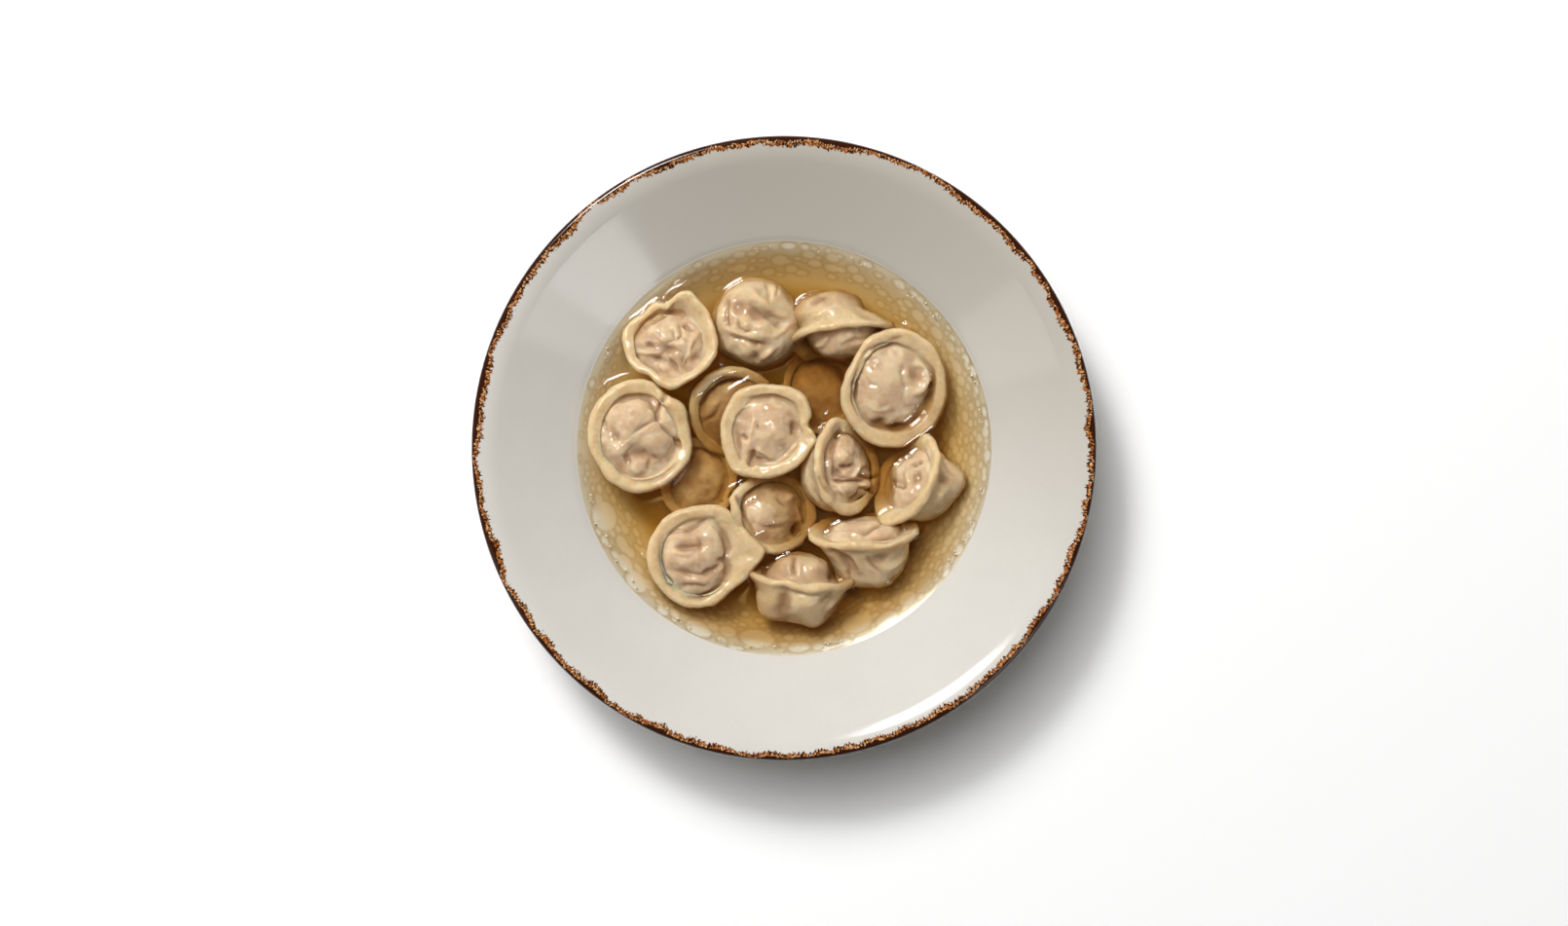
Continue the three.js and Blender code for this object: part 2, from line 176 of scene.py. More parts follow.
# Noise over a dumpling: how large its blobs are and how deep it is, in millimetres, and what it adds to
# the dumpling's seed.
SLACK = ((8.5, 0.3, 200), (5.5, 0.34, 0), (3, 0.18, 40))
CRUMPLES = ((4.6, 0.2, 80), (2.2, 0.08, 120))
FINE = ((1.3, 0.05, 160),)
THICK_STATION = 7.5  # the dough is thick about this station
THICK_REACH = (4.2, 2.6)  # how many stations off it it's wholly thin, and still wholly thick
SLACK_SHARES = (1.05, 0.95)  # where the dough is thick, where it is thin
CRUMPLE_SHARES = (0.3, 1)
BELLY_FILLING = 0.5  # how much of the filling shows below the brim
# Painted shade in the dough's hollows: how deep a hollow is when it is darkened in full, and how much more a
# wrinkle counts.
SHADED_HOLLOW_DEPTH = 1.1  # where a hollow is coloured in full
SHADED_HOLLOW_WRINKLES = 1.3  # how much more a wrinkle's depth counts there than a fold's
NOISE_SHIFT = (17.13, 5.71, 9.37)
NOISE_GAIN = 1.6
HASH_PRIMES = (73856093, 19349663, 83492791)
HASH_SPREAD = 1274126177
WRINKLE_MEAN = 0.6

# The key light is round lights one before another: how far each stands above the key's height in degrees,
# its width in metres, its share of the power, and whether it shows in what is glossy.
KEY_DISCS = (
    (10, 3.1, 0.14, False),
    (4, 2.4, 0.43, False),
    (-1, 1.1, 0.1, True),
    (-4, 0.5, 0.13, True),
    (-8, 0.85, 0.2, False),
)
KEY_DISTANCE = 3.0

# Panels that only show as reflections in the glaze and on what is wet: name, turn and height in degrees,
# size in metres and power in watts.
PANELS = (
    ("panel_right", 316, 37, (0.36, 0.5), 1.1),
    ("panel_right_wide", 321, 37, (0.62, 0.55), 1.6),
    ("panel_left", 206, 40, (0.36, 0.4), 0.5),
    ("panel_key", 121, 59, (0.34, 0.34), 10),
)
PANEL_DISTANCE = 1.5
SKY_COLOUR = (1.0, 0.97, 0.93)
FLOOR_HALF = 3000
CAMERA_AT = (0, -5.7, 1243)
CAMERA_LENS = 71.7
CAMERA_SENSOR = 36

# How the broth lies. It sinks a little into the glaze, so that no gap shows between them.
BROTH_SINKS = 0.25
BED_STEPS = 6
BED_SIDES = 144
CONTACT_CLIMB = 0.9  # share of the climb on dough that stands out of it
CONTACTS_FELT = 4  # how many of the nearest contacts may lift a point
WAVE_HEIGHT = 0.02
WAVE_SIZE = 9
WAVE_SEED = 3

# A drop of fat: a low lens with a soft edge and a line of painted shade round it.
DROPS_SEED = 5
DROP_LENGTHS = (0.45, 0.75)  # of its shoal's: the least, and how much more at most
DROP_WIDTHS = (0.42, 0.2)  # of its own length: the same
DROP_SPACING = 0.62  # share of both half lengths that lies between two middles, with a gap
DROP_GAP = 0.2
DROP_FROM_BRIM = 0.5
DROP_REACH = 1.5
DROP_EDGE = (0.3, -0.5)  # beyond the drop's outline, where it starts and is whole
DROP_LINE = 0.3
DROP_LINE_WIDTH = 0.35
DROP_RISE = 0.075  # height as a share of its half width
DROP_HIGHEST = 0.2

# A bead of fat: its rings as shares of its size, out and up, and its top.
BEADS_SEED = 11
BEAD_SIDES = 10
BEAD_RINGS = ((1, 0), (0.9, 0.32), (0.6, 0.62))
BEAD_TOP = 0.74
BEAD_SIZES = (0.6, 0.8)  # of the listed size: the least, and how much more at most
BEAD_LIFT = 0.04

# Drops of fat that lie apart on the broth, long side along the shore: x, y and half of each size.
DROPS = (
    (-10.6, -74, 6.8, 3.4),
    (-33.3, -70.2, 5.3, 2.6),
    (-21.9, -71.3, 3.4, 1.9),
    (5.7, -77.4, 4.2, 1.9),
    (13.2, -77.2, 2.3, 1.3),
    (23.5, -75.3, 2.6, 1.3),
    (28.7, -74.6, 1.5, 1),
    (28.4, -68, 6.4, 3.6),
    (1.9, -73.6, 2, 1.2),
    (17.4, -73.6, 2.2, 1.3),
    (40, -66.5, 4.6, 2.6),
    (48, -58.5, 3.6, 2.4),
    (-70, -26.3, 6, 4.6),
    (-62.8, -37.3, 3.8, 1.9),
    (-61.7, -44.9, 4.2, 2.3),
    (-57.5, -51.7, 5.1, 3.2),
    (-42.7, -64.1, 2.4, 1.4),
    (77.3, -16.5, 1.6, 0.9),
    (52.2, 51.6, 3, 1.8),
    (59.4, 44.8, 3, 1.7),
    (64.7, 39.5, 2.4, 1.5),
    (67.3, 31.6, 3.2, 1.6),
    (68.8, 26.4, 2.2, 1.5),
    (53, 58, 1.8, 1),
    (-1.5, 73.2, 3.2, 1.9),
)

# Where more of them crowd: the turn round the bowl from and to in degrees, how far out from and to, how
# many are tried, and half of their long side.
SHOALS = (
    (-42, 50, 61, 79.5, 900, 2.1),
    (190, 252, 64, 79.5, 260, 2.3),
    (252, 318, 66, 80, 260, 1.7),
    (50, 128, 66, 79, 120, 2.4),
    (128, 190, 72, 79.5, 60, 1.6),
)

# The smallest drops, along the shore: the turn from and to in degrees, how far out from and to, how many
# and their half size.
BEADS = (
    (-36, 34, 77.2, 79.4, 24, 0.36),
    (192, 232, 77, 79.4, 20, 0.34),
    (232, 300, 76.5, 79.4, 26, 0.32),
    (40, 62, 76, 79.4, 10, 0.34),
    (62, 160, 77, 79.6, 12, 0.28),
)


def unit_ramp(values, start, end):
    """0 at start and before, 1 at end and past it, and smooth between."""
    share = np.clip((values - start) / (end - start), 0, 1)
    return share * share * (3 - 2 * share)


def turned(offsets, turn):
    """How far offsets in plan reach along a direction, and how far across it."""
    x, y = offsets[..., 0], offsets[..., 1]
    return x * math.cos(turn) + y * math.sin(turn), y * math.cos(turn) - x * math.sin(turn)


def along_route(points, route):
    """How far points in plan are from a route, 1 on its left side and -1 on its right, and how strong a
    fold along it is there, since it fades towards both ends."""
    nearest = np.full(points.shape[:-1], np.inf)
    side, along = np.ones(nearest.shape), np.zeros(nearest.shape)
    for i, (start, end) in enumerate(zip(route, route[1:])):
        way = np.array(end, dtype=float) - start
        offset = points - start
        share = np.clip(offset @ way / (way @ way), 0, 1)
        apart = np.linalg.norm(offset - share[..., None] * way, axis=-1)
        closer = apart < nearest
        nearest = np.where(closer, apart, nearest)
        side = np.where(closer, np.sign(way[0] * offset[..., 1] - way[1] * offset[..., 0]), side)
        along = np.where(closer, (i + share) / (len(route) - 1), along)
    return nearest, side, np.sqrt(np.sin(np.pi * np.clip(along, FOLD_END, 1 - FOLD_END)))


def line(width, height, *route):
    """A fold along a route in plan: a ridge or, with a height under 0, a crease. Like the two folds below
    it gives how far it pushes the dough out at points in plan."""

    def push(points):
        nearest, _, strength = along_route(points, route)
        return height * strength * np.exp(-((nearest / width) ** 2))

    return push


def flap(reach, height, *route):
    """A step up on the left of its route that sinks back over its reach."""

    def push(points):
        nearest, side, strength = along_route(points, route)
        step = unit_ramp(nearest * side, -FLAP_STEP, FLAP_STEP)
        return height * strength * step * np.exp(-np.maximum(nearest * side, 0) / reach)

    return push


def lobe(x, y, long, short, height, angle=0):
    """A bump or, with a height under 0, a hollow, with its long side at an angle in degrees."""

    def push(points):
        along, across = turned(points - (x, y), math.radians(angle))
        return height * np.exp(-((along / long) ** 2) - (across / short) ** 2)

    return push


# A usual dumpling, as in the solid model. Angles are degrees, lengths millimetres.
USUAL = dict(
    radius=19.5,  # out to the edge of the brim
    oval=(0, 0),  # share by which it is longer, and along which angle
    corners=(),  # (angle, width, mm) where the brim is pulled out or pinched in
    waves=(),  # (angle, width, mm) where the brim rises or droops
    dome=12.6,  # radius of the face inside the brim
    dome_at=(0, 0),
    dome_height=7,
    groove_height=0.8,
    lift=3.2,  # how far the brim's edge stands above the groove
    thickness=3,
    belly=13.5,
    belly_at=(0, 0),
    belly_height=10,
    lumps=(),  # (angle, angle down from the face, width, mm)
    crumple=1,  # how deep the fine wrinkles are, as a share of the usual
    folds=(),
    # Below these heights the dough is darker and browner: broth colour under the broth, painted shade where
    # it starts above it.
    steep_and_shade_heights=(0.5, -6),  # how far above the broth it starts to look steeped, and where it is wholly so
)

# Where each dumpling lies: at is the middle of its brim, facing is the way its face leans, and tilt
# how far it leans. The names are the solid model's.
PELMENI = {
    "pelmen_centre": dict(
        at=(-6.3, 6.5, 27.8), facing=120, tilt=4, radius=18.3, dome=12.4, dome_at=(-0.4, -0.6),
        dome_height=6.2, groove_height=1.5, lift=3, thickness=3.8, belly_height=13,
        corners=((-11, 8, 1.6), (8, 11, -2.2), (48, 24, 1.5), (128, 26, 1), (230, 26, 2)),
        waves=((-50, 30, 1.4), (60, 30, 0.6), (170, 30, -0.5)),
        lumps=((60, 40, 32, 1.1), (200, 45, 20, -1.6), (330, 30, 30, 0.6)),
        folds=(
            line(0.9, -1.1, (-16, 20.5), (-10, 20.8), (-5, 21.2), (0, 20), (3, 18), (5, 14)),
            line(1.3, 1.3, (-12.5, 16), (-12.5, 11), (-13.5, 7), (-14, 4), (-15, 0), (-16, -4)),
            lobe(-11.2, 9.5, 0.9, 1.5, -1.4),
            lobe(-16.2, 5.5, 1.7, 1, -1.7, -30),
            line(0.8, -1.2, (-19.5, 9), (-18, 3), (-17.5, -3)),
            line(1.1, -2.2, (-12.5, 1), (-13.5, -3), (-13.5, -5.5)),
            line(0.9, 1.2, (-12, 1.5), (-9, 0), (-5, -3)),
            lobe(-11, -3, 1.8, 1, -1.4),
            lobe(-5, 9, 5, 5, 1.1),
            lobe(-1.5, 1, 3, 2.4, -0.7),
            lobe(3.6, 9.3, 1.5, 2.2, -1.6),
            line(0.6, -1.1, (3, 11.5), (4, 9), (2, 6.5)),
            line(0.8, 1, (8.5, 9), (9.5, 7.5), (10.5, 6.5)),
            line(1, 0.8, (-20, 14), (-17, 17), (-12, 18.5), (-6, 17.5)),
            lobe(-19, 12, 2, 1.3, 1, -20),
            flap(2, 1, (8, 3), (6, 4.3), (3, 2.6), (0, -1), (-4, -4), (-11, -5.2), (-16, -7), (-21, -6.3)),
        ),
    ),
    "pelmen_big_right": dict(
        at=(42.6, 23.4, 26.2), facing=-35, tilt=9, radius=22.2, oval=(0.06, 85), dome=14.9,
        dome_at=(-1.1, 0.6), dome_height=5.8, groove_height=1.5, lift=2.7, thickness=4.2, belly=15.4,
        belly_height=16.2, steep_and_shade_heights=(2.4, -1.4),
        corners=((150, 20, -1.6), (190, 22, 0.7), (300, 28, -1)),
        waves=((200, 50, 0.9),),
        lumps=((5, 55, 22, 1.4), (200, 40, 40, 0.7)),
        folds=(
            line(0.9, -1.4, (28, 14.5), (26.3, 20), (26.6, 27), (28, 33.5)),
            line(0.9, -1, (28.5, 34.5), (31.5, 38.5), (36, 41), (43, 41.5), (49, 39)),
            line(1, -1.1, (28, 14.5), (33, 11), (41, 9), (48, 10.5), (52, 14)),
            line(0.6, 0.8, (29, 35), (31.5, 37.5), (34, 40)),
            line(1.2, 1.9, (50.5, 34.5), (54, 32), (55, 28), (53, 24), (50, 22)),
            lobe(50, 28.5, 2, 3.2, -1.3),
            lobe(36.5, 11.5, 2.2, 1.1, -1.4),
            lobe(43, 9.8, 2.6, 1.2, -1.3),
            lobe(34, 37.2, 2.4, 1.3, 0.9, 30),
            lobe(42, 30, 5, 6, 0.6),
            line(0.9, -0.8, (46, 35), (44.5, 30), (46, 25), (45, 20)),
            line(0.7, -0.7, (40, 43), (45, 44.5)),
            line(1.2, -0.9, (52, 37), (57, 31), (57, 24), (54, 16)),
            line(1, 0.6, (31, 18), (36, 16), (42, 17)),
        ),
    ),
    "pelmen_left": dict(
        at=(-56.1, 4.9, 26.9), facing=20, tilt=5, radius=21.2, oval=(0.04, 95), dome=14.8,
        dome_at=(-0.6, -0.6), dome_height=7.2, groove_height=1.9, lift=2.4, thickness=4.4, belly=14.6,
        belly_at=(1.4, 0), belly_height=16.2,
        corners=((58, 13, -2.4), (10, 18, -0.7), (-22, 18, 0.7), (215, 16, -0.8), (255, 22, 0.5)),
        waves=((40, 24, 1.8), (200, 40, -0.5)),
        lumps=((105, 45, 34, 1), (-20, 40, 26, 0.9), (250, 30, 22, -2), (195, 70, 30, 0.6)),
        folds=(
            line(1, -2, (-46, 23), (-48.5, 19), (-49.3, 15), (-49.5, 11.5)),
            line(0.8, -1.5, (-50, 12), (-47, 9), (-44, 6), (-42, 4), (-41.5, 1.5)),
            lobe(-42, 3.4, 0.8, 1.6, -1.4, 20),
            lobe(-45, 14.5, 3, 6, 1, 12),
            line(1, -1.3, (-68, 18), (-62, 21), (-57, 21.5), (-53, 20.5), (-51, 17), (-49.5, 13)),
            flap(5, 1.5, (-50, 12.5), (-52, 16), (-57, 18.3), (-65, 18.5), (-68, 16), (-70.5, 11)),
            flap(5, 1.2, (-49, 11.5), (-52, 10.7), (-55.5, 9), (-60, 5.5)),
            line(0.7, -0.9, (-51, 12), (-55, 9.9), (-59, 7)),
            line(0.8, -1, (-70.5, 13), (-70, 8)),
            lobe(-66.5, 6.5, 2.2, 3.6, -1.4, 35),
            lobe(-65, 0, 2.8, 3.6, 0.9, 30),
            lobe(-56, -0.8, 3.8, 2, -2.2),
            lobe(-50.5, -2.4, 2.2, 1.6, -1.3),
            lobe(-61.5, -3, 1.3, 2, -1.2, 30),
            lobe(-58, -7, 2.4, 2.6, 1.5),
            line(0.7, -1, (-53.2, -3), (-53.6, -8)),
            line(1, -0.9, (-64, -8), (-58, -11), (-52, -11), (-47, -9), (-42, -4)),
            lobe(-48, 4, 3.4, 4.5, 0.9, -40),
        ),
    ),
    "pelmen_lower_left": dict(
        at=(-32, -41.2, 26.9), facing=-60, tilt=5, radius=20.6, dome=13.7, dome_at=(-2.7, -1.8),
        dome_height=7.4, groove_height=1.8, lift=2.3, thickness=4.2, belly=14, belly_height=15.8,
        corners=(
            (3, 12, 4.1), (40, 20, -1), (103, 24, -1.3), (190, 30, 0.8), (250, 22, 0.8), (309, 20, -2.4),
        ),
        waves=((0, 26, 1.4), (110, 40, 0.5)),
        lumps=((60, 60, 26, 1), (170, 50, 24, 0.8), (270, 60, 26, 0.9), (10, 20, 16, -0.9)),
        folds=(
            line(1.1, -2, (-28, -26.8), (-24, -33), (-22.3, -38), (-23.5, -41.5), (-22, -45), (-24, -50)),
            line(1, -1.3, (-24, -50), (-28, -54), (-33, -56.7), (-39, -56.8)),
            lobe(-25.5, -42, 1.2, 1, -1.4),
            line(1.6, -1.6, (-44, -36.5), (-38, -37.5), (-32, -36.3)),
            line(1.2, 0.9, (-45, -38.8), (-40, -39.5), (-35, -39)),
            line(1.1, -1.5, (-43, -46), (-37, -47.5), (-33, -48), (-28, -46), (-24.5, -43)),
            line(0.9, -1, (-41, -52.3), (-35, -51.5), (-31, -52.5)),
            lobe(-40, -33.6, 4.2, 1.7, 1.2, 5),
            lobe(-29.3, -31, 3, 3.8, 1),
            lobe(-38, -42.5, 5, 2.2, 1.1),
            lobe(-28.6, -39.4, 2.6, 3.2, 1),
            lobe(-34, -50, 5, 1.8, 0.8, 5),
            lobe(-45.8, -43.5, 1.6, 2.6, 0.8),
            line(0.8, -1.1, (-46, -32), (-42, -30.8), (-38, -30.4), (-35, -29), (-31, -26.3), (-28, -26.5)),
            line(0.9, -0.9, (-48.3, -34), (-48.8, -41), (-47.2, -48), (-43, -54.5)),
            line(0.7, -0.8, (-34.5, -33), (-33, -35), (-33, -37)),
        ),
    ),
    "pelmen_upper_left": dict(
        at=(-43.4, 41.2, 27), facing=130, tilt=11, radius=17.9, dome=12.9, dome_at=(-1.2, -1.7),
        dome_height=5.8, groove_height=0.3, lift=4.7, belly=13.2, belly_at=(1.6, -1.4), belly_height=13,
        crumple=1.3,
        corners=(
            (69, 13, 2.9), (45, 14, 0.8), (98, 10, -2.3), (130, 24, -2), (169, 15, 1.7), (200, 16, 0.8),
            (238, 12, -1.5), (272, 14, 1.3), (345, 16, 1),
        ),
        waves=((70, 20, 1.4), (240, 30, 0.5)),
        lumps=((190, 55, 22, 1.3), (20, 50, 24, 1.2), (260, 35, 26, -1)),
        folds=(
            lobe(-56, 42.6, 3.4, 2.2, 1.1),
            line(1.2, 1.2, (-59, 38.7), (-51, 38.3), (-47.5, 38.8)),
            lobe(-52.6, 41.3, 1.8, 1.1, -1.9, -20),
            lobe(-47, 47.8, 5, 1.8, 1.1, 20),
            lobe(-47, 44, 2.8, 2.2, 1.1),
            line(0.6, -1, (-44, 46.5), (-43.3, 43.5), (-46, 41.8)),
            line(1.1, 1.6, (-34.5, 46), (-36.5, 43), (-37.8, 40), (-38, 36)),
            lobe(-33.8, 43, 1.6, 4, 0.9),
            lobe(-38.3, 48.4, 2.4, 1, -2.1, -20),
            line(0.7, -1.2, (-41.5, 49.5), (-40.8, 45), (-42.5, 42.5)),
            line(0.6, -1.2, (-40.5, 44.5), (-38, 42), (-38.8, 37)),
            line(0.6, -1, (-46, 37), (-43, 33), (-42, 31)),
            line(0.5, -0.8, (-39.5, 37.5), (-40.5, 33.5)),
            line(0.5, -0.8, (-37.5, 37), (-39.5, 33)),
            lobe(-45.8, 39.5, 2.6, 1.5, -1.3),
            lobe(-49.5, 36, 2.8, 1.1, -1.4, -25),
            lobe(-45, 34, 3.5, 2, -0.7),
            line(1.1, -1, (-56, 46.5), (-50, 51.5), (-46, 54), (-41, 54), (-37, 52)),
            lobe(-34.5, 36.5, 1.5, 2.5, -0.9, -30),
            flap(2.5, 0.9, (-42, 53.2), (-46, 52.6), (-50, 50), (-54.5, 47)),
        ),
    ),
    "pelmen_right": dict(
        at=(49.6, -12.7, 25.8), facing=154, tilt=50, radius=17, oval=(0.07, 64), dome=11, dome_height=5.6,
        lift=3, thickness=3.4, belly=13.4, belly_at=(1, 0), belly_height=17.6,
        corners=((64, 16, 1.4), (244, 18, 2.2)),
        lumps=((16, 118, 24, 4), (70, 60, 20, 1.2), (200, 50, 20, -1.6)),
        folds=(
            line(1.4, 0.8, (54.5, 4), (54, -4), (56, -10), (54, -15), (46, -20), (38, -26)),
            lobe(44, -7.3, 2.4, 2.2, 1.1),
            line(1, 1.1, (47.5, -6), (47.3, -10), (47.5, -15)),
            line(0.6, -1.1, (41, -10.5), (42.3, -13.5), (45, -14.3), (46.5, -13)),
            lobe(43.5, -11.8, 1.6, 1.2, -0.9),
            lobe(50, -5, 1.1, 0.8, -1.8),
            lobe(52, -4.2, 1.1, 0.8, -1.5),
            lobe(51.3, -10, 1.2, 2.2, -1.6),
            line(0.7, -0.9, (49.5, -7), (50, -11), (49, -15)),
            lobe(45, -18.5, 4, 2.4, 0.8, 30),
            lobe(62, -11, 2, 2.6, -1.5, 30),
            line(0.9, -1.1, (60.5, -3), (63, -7), (65.5, -10)),
            line(1.1, 0.9, (57, 1.5), (61.5, -4), (66, -9)),
            lobe(60.5, -17, 2.5, 1.6, 0.9, 50),
            flap(2, 0.9, (48.5, -2.5), (46, -4), (41, -5.2)),
        ),
    ),
    "pelmen_top_right": dict(
        at=(22.4, 46.2, 24.4), facing=-83, tilt=74, radius=17, oval=(0.18, 6), dome=12, dome_height=11.6,
        lift=2.6, belly=13, belly_at=(-3.4, 0), belly_height=15.4, steep_and_shade_heights=(10, -2),
        corners=((6, 16, 1), (186, 14, 0.8)),
        waves=((218, 26, 4.6),),
        lumps=((170, 110, 26, 1.4),),
        folds=(
            flap(3.5, 0.9, (22, 57.5), (19, 56.6), (15, 55.3), (12, 53.4), (8, 51.3)),
            line(1.1, 1.1, (6.5, 56), (11, 59), (17, 62)),
            line(0.9, -0.9, (9, 56.5), (13, 59), (16, 60)),
            lobe(19, 58.5, 1.4, 1.2, 0.8),
            line(0.9, 1, (11, 41), (14, 41.5), (16.5, 44.5)),
            line(1, -0.9, (22, 41.5), (27, 43.5), (33, 44)),
            lobe(17, 39, 4, 2, 0.8),
            line(1.2, -0.8, (26, 55.5), (30, 52.5), (36, 50.5)),
            lobe(14, 49, 5, 2.4, 0.6, 15),
        ),
    ),
    "pelmen_lower_right": dict(
        at=(31, -34.6, 25.3), facing=93, tilt=63, radius=17.4, oval=(0.19, 3), dome=12.4, dome_height=6.6,
        lift=2.8, belly=14, belly_at=(1.6, 0), belly_height=19.6,
        corners=((3, 16, 1), (183, 16, 1)),
        waves=((-84, 30, 1),),
        lumps=((-55, 125, 26, 1.7), (-125, 130, 24, 0.8), (-105, 118, 14, -1.4)),
        folds=(
            line(
                1.5, 1, (10, -34.5), (16, -33.8), (22, -34.3), (28, -36.5), (34, -37.5), (40, -36.3),
                (46, -33),
            ),
            line(1.1, -1.3, (29, -33.5), (34, -29.5), (39, -27)),
            lobe(41, -30.6, 4, 1.8, 1.2, 15),
            line(0.9, -1.2, (32, -35.3), (38, -35), (43, -33), (47, -30)),
            line(1.2, -1.7, (22, -40), (25, -43), (27.5, -47)),
            line(1.2, -1.6, (17, -38), (21, -40.5), (24, -45), (25, -50)),
            lobe(36, -42, 3.8, 2.2, -1.6, 10),
            line(1, 1.2, (39.5, -46), (42.5, -44), (46, -41)),
            line(0.7, 0.7, (37.5, -43.5), (40, -41.5), (42.5, -39.5)),
            line(0.9, 0.8, (47, -35), (46.5, -40)),
            lobe(23, -29, 6, 1.5, 0.7, 5),
            line(0.8, -0.9, (31, -40), (33, -44), (38, -48)),
            flap(2.5, 1, (35.5, -29), (32, -31.5), (30, -32.5), (25, -31), (20, -31.3), (11, -33.6)),
        ),
    ),
    "pelmen_bottom": dict(
        at=(6.4, -52.2, 25), facing=84, tilt=73, radius=17, oval=(0.17, -6), dome=12, dome_height=11.4,
        lift=2.8, belly=14.4, belly_height=15.4, steep_and_shade_heights=(14, -4),
        corners=((-6, 16, 1), (174, 16, 1.2)),
        lumps=((-55, 140, 22, 2.4), (200, 125, 24, 3), (-100, 135, 14, -1.6)),
        folds=(
            lobe(12, -44.5, 4.6, 4, 1.3),
            lobe(-4, -44, 3.6, 2.2, 0.6, 20),
            line(1.1, -1.7, (3.5, -40.5), (2.6, -44), (3.2, -48)),
            lobe(2.6, -49.3, 1.5, 1, 1.5, -20),
            line(1.2, -1, (17, -43), (18, -46.5), (17.5, -50)),
            line(
                1.3, 1, (-10, -45.5), (-6, -46.8), (-1, -49.5), (3, -52), (9, -53.8), (16, -52.3),
                (21, -51),
            ),
            lobe(-1, -58.5, 2.6, 5, -1.9, -10),
            lobe(8, -60, 4.6, 4.4, 1.3),
            lobe(-10, -56, 4, 4, 1.1),
            line(0.9, 1.1, (15, -62.5), (19, -58), (22, -54)),
            line(1, -0.9, (12, -60), (15.5, -57), (18, -54)),
            flap(2, 0.9, (16.5, -49.5), (11, -51.3), (5.5, -51.6)),
        ),
    ),
    "pelmen_inner_right": dict(
        at=(22.6, -8, 25), facing=9, tilt=39, radius=17.6, oval=(0.06, 99), dome=12, lift=3.4,
        thickness=3.8, belly=13.6, belly_at=(-1, -2), belly_height=15, crumple=1.2,
        corners=((108, 14, 1.8), (-50, 24, -1.2)),
        waves=((180, 50, 0.8),),
        lumps=((90, 50, 24, 1.7), (-40, 55, 24, 1.5), (200, 30, 18, -1.6)),
        folds=(
            line(1, -1.7, (21.5, 9), (19, 4), (17.8, 1), (18.3, -3), (18.7, -7), (20, -11)),
            lobe(22, -1.8, 2.8, 2.6, 1.5),
            lobe(22.8, -6, 1.5, 0.9, -1.8),
            lobe(25.3, -5.4, 1.2, 0.8, -1.5),
            line(1, 1.3, (28, -4), (27.7, -7.5), (25.5, -10.5)),
            line(0.8, -1.4, (19.5, -6.5), (21.5, -9.7), (25, -10.3)),
            line(0.8, -2.4, (19, -11.6), (24, -11.5), (31, -11.5)),
            line(0.7, 0.9, (20, -13.5), (22.5, -16.5), (24.3, -19.5)),
            lobe(24.8, -14.8, 3, 2, 1.2),
            line(0.7, -1, (29, -13.5), (26.8, -17), (24.8, -19)),
            lobe(31, -12.8, 1.9, 1.5, 1.5),
            lobe(34, -12, 1.5, 2, 1.2),
            lobe(31, -16.2, 1.6, 1.4, 1.2),
            lobe(33, -8.6, 1.8, 1.4, 1.2),
            lobe(29.8, -5, 2.2, 2.2, 1),
            line(0.6, -1.4, (28.5, -9.3), (32.5, -10.5), (36, -9.8)),
            line(0.6, -1.4, (28.5, -14.2), (32, -14.6), (34.5, -16.5)),
            line(1, -0.8, (12, -9), (14, -13), (19, -17.5)),
        ),
    ),
    "pelmen_top": dict(
        at=(-10.2, 49.2, 21.4), facing=200, tilt=170, radius=17.6, oval=(0.05, 90), dome=12,
        dome_height=5.6, lift=1.6, thickness=2.8, belly=16.6, belly_height=12, steep_and_shade_heights=(4, -6),
        corners=((10, 16, 2.6),),
        lumps=((100, 150, 26, 1.4), (270, 130, 24, 1.4), (200, 150, 22, -1.6), (330, 140, 22, 1.1)),
        folds=(
            line(1.1, -1.5, (-22.5, 60), (-23.5, 55), (-23.3, 50), (-21.5, 47.5)),
            line(2.4, 3.3, (-16.5, 63), (-11.5, 58.5), (-7, 55), (-3, 53), (1.5, 50.5)),
            line(1.5, -1.5, (-15.5, 58.5), (-11, 54.5), (-6, 51.5), (-2, 49)),
            lobe(-12.5, 64.3, 3.6, 1.8, 1),
            lobe(-4.8, 62, 2.8, 2.8, 1.3),
            line(0.9, -1.3, (-8, 65.5), (-6.8, 62), (-6.5, 58.5)),
            line(0.7, -0.9, (-3.5, 64.5), (-3.8, 60)),
            lobe(-18.5, 56, 2.4, 3.8, -1.4),
            lobe(-12.5, 53.2, 3.6, 1.7, -1.5, -30),
            lobe(-15.8, 49, 2.2, 2, 1.3),
            line(0.8, -1.6, (-18.5, 51), (-18, 48), (-16, 46.3), (-13, 46.5)),
            lobe(-8.8, 48.3, 3.6, 1.9, 1.6, 10),
            lobe(-9, 44.6, 3.6, 1.4, 0.9),
            line(1.5, 1.3, (-24, 48.5), (-20, 46.8), (-17, 45), (-13, 43)),
            line(1, -1.8, (-21, 44.5), (-16, 43.6), (-12, 41.5), (-7, 41.5)),
            lobe(-22, 41, 2.2, 2.4, 1),
            lobe(-16.3, 38.6, 2.6, 1.8, 1),
            lobe(-11.5, 36.5, 1.8, 1.6, -1.3),
            line(0.9, 1.1, (-11, 35), (-7.5, 37.7), (-4, 40.5)),
            line(1, 1, (-5.5, 44), (-1, 47), (1.5, 50.5)),
            lobe(-2.5, 50, 3, 1.5, -0.9, 20),
        ),
    ),
    "pelmen_below_centre": dict(
        at=(-4.9, -25.4, 21.9), facing=20, tilt=16, radius=16.6, oval=(0.05, 0), dome=12.2, dome_height=5.2,
        groove_height=1.6, lift=2.6, thickness=3.4, belly=12.6, belly_height=12.1, steep_and_shade_heights=(2.2, -5),
        corners=((160, 14, 1.2), (270, 30, 0.6)),
        waves=((170, 34, 1.6),),
        lumps=((60, 45, 30, 1.1),),
        folds=(
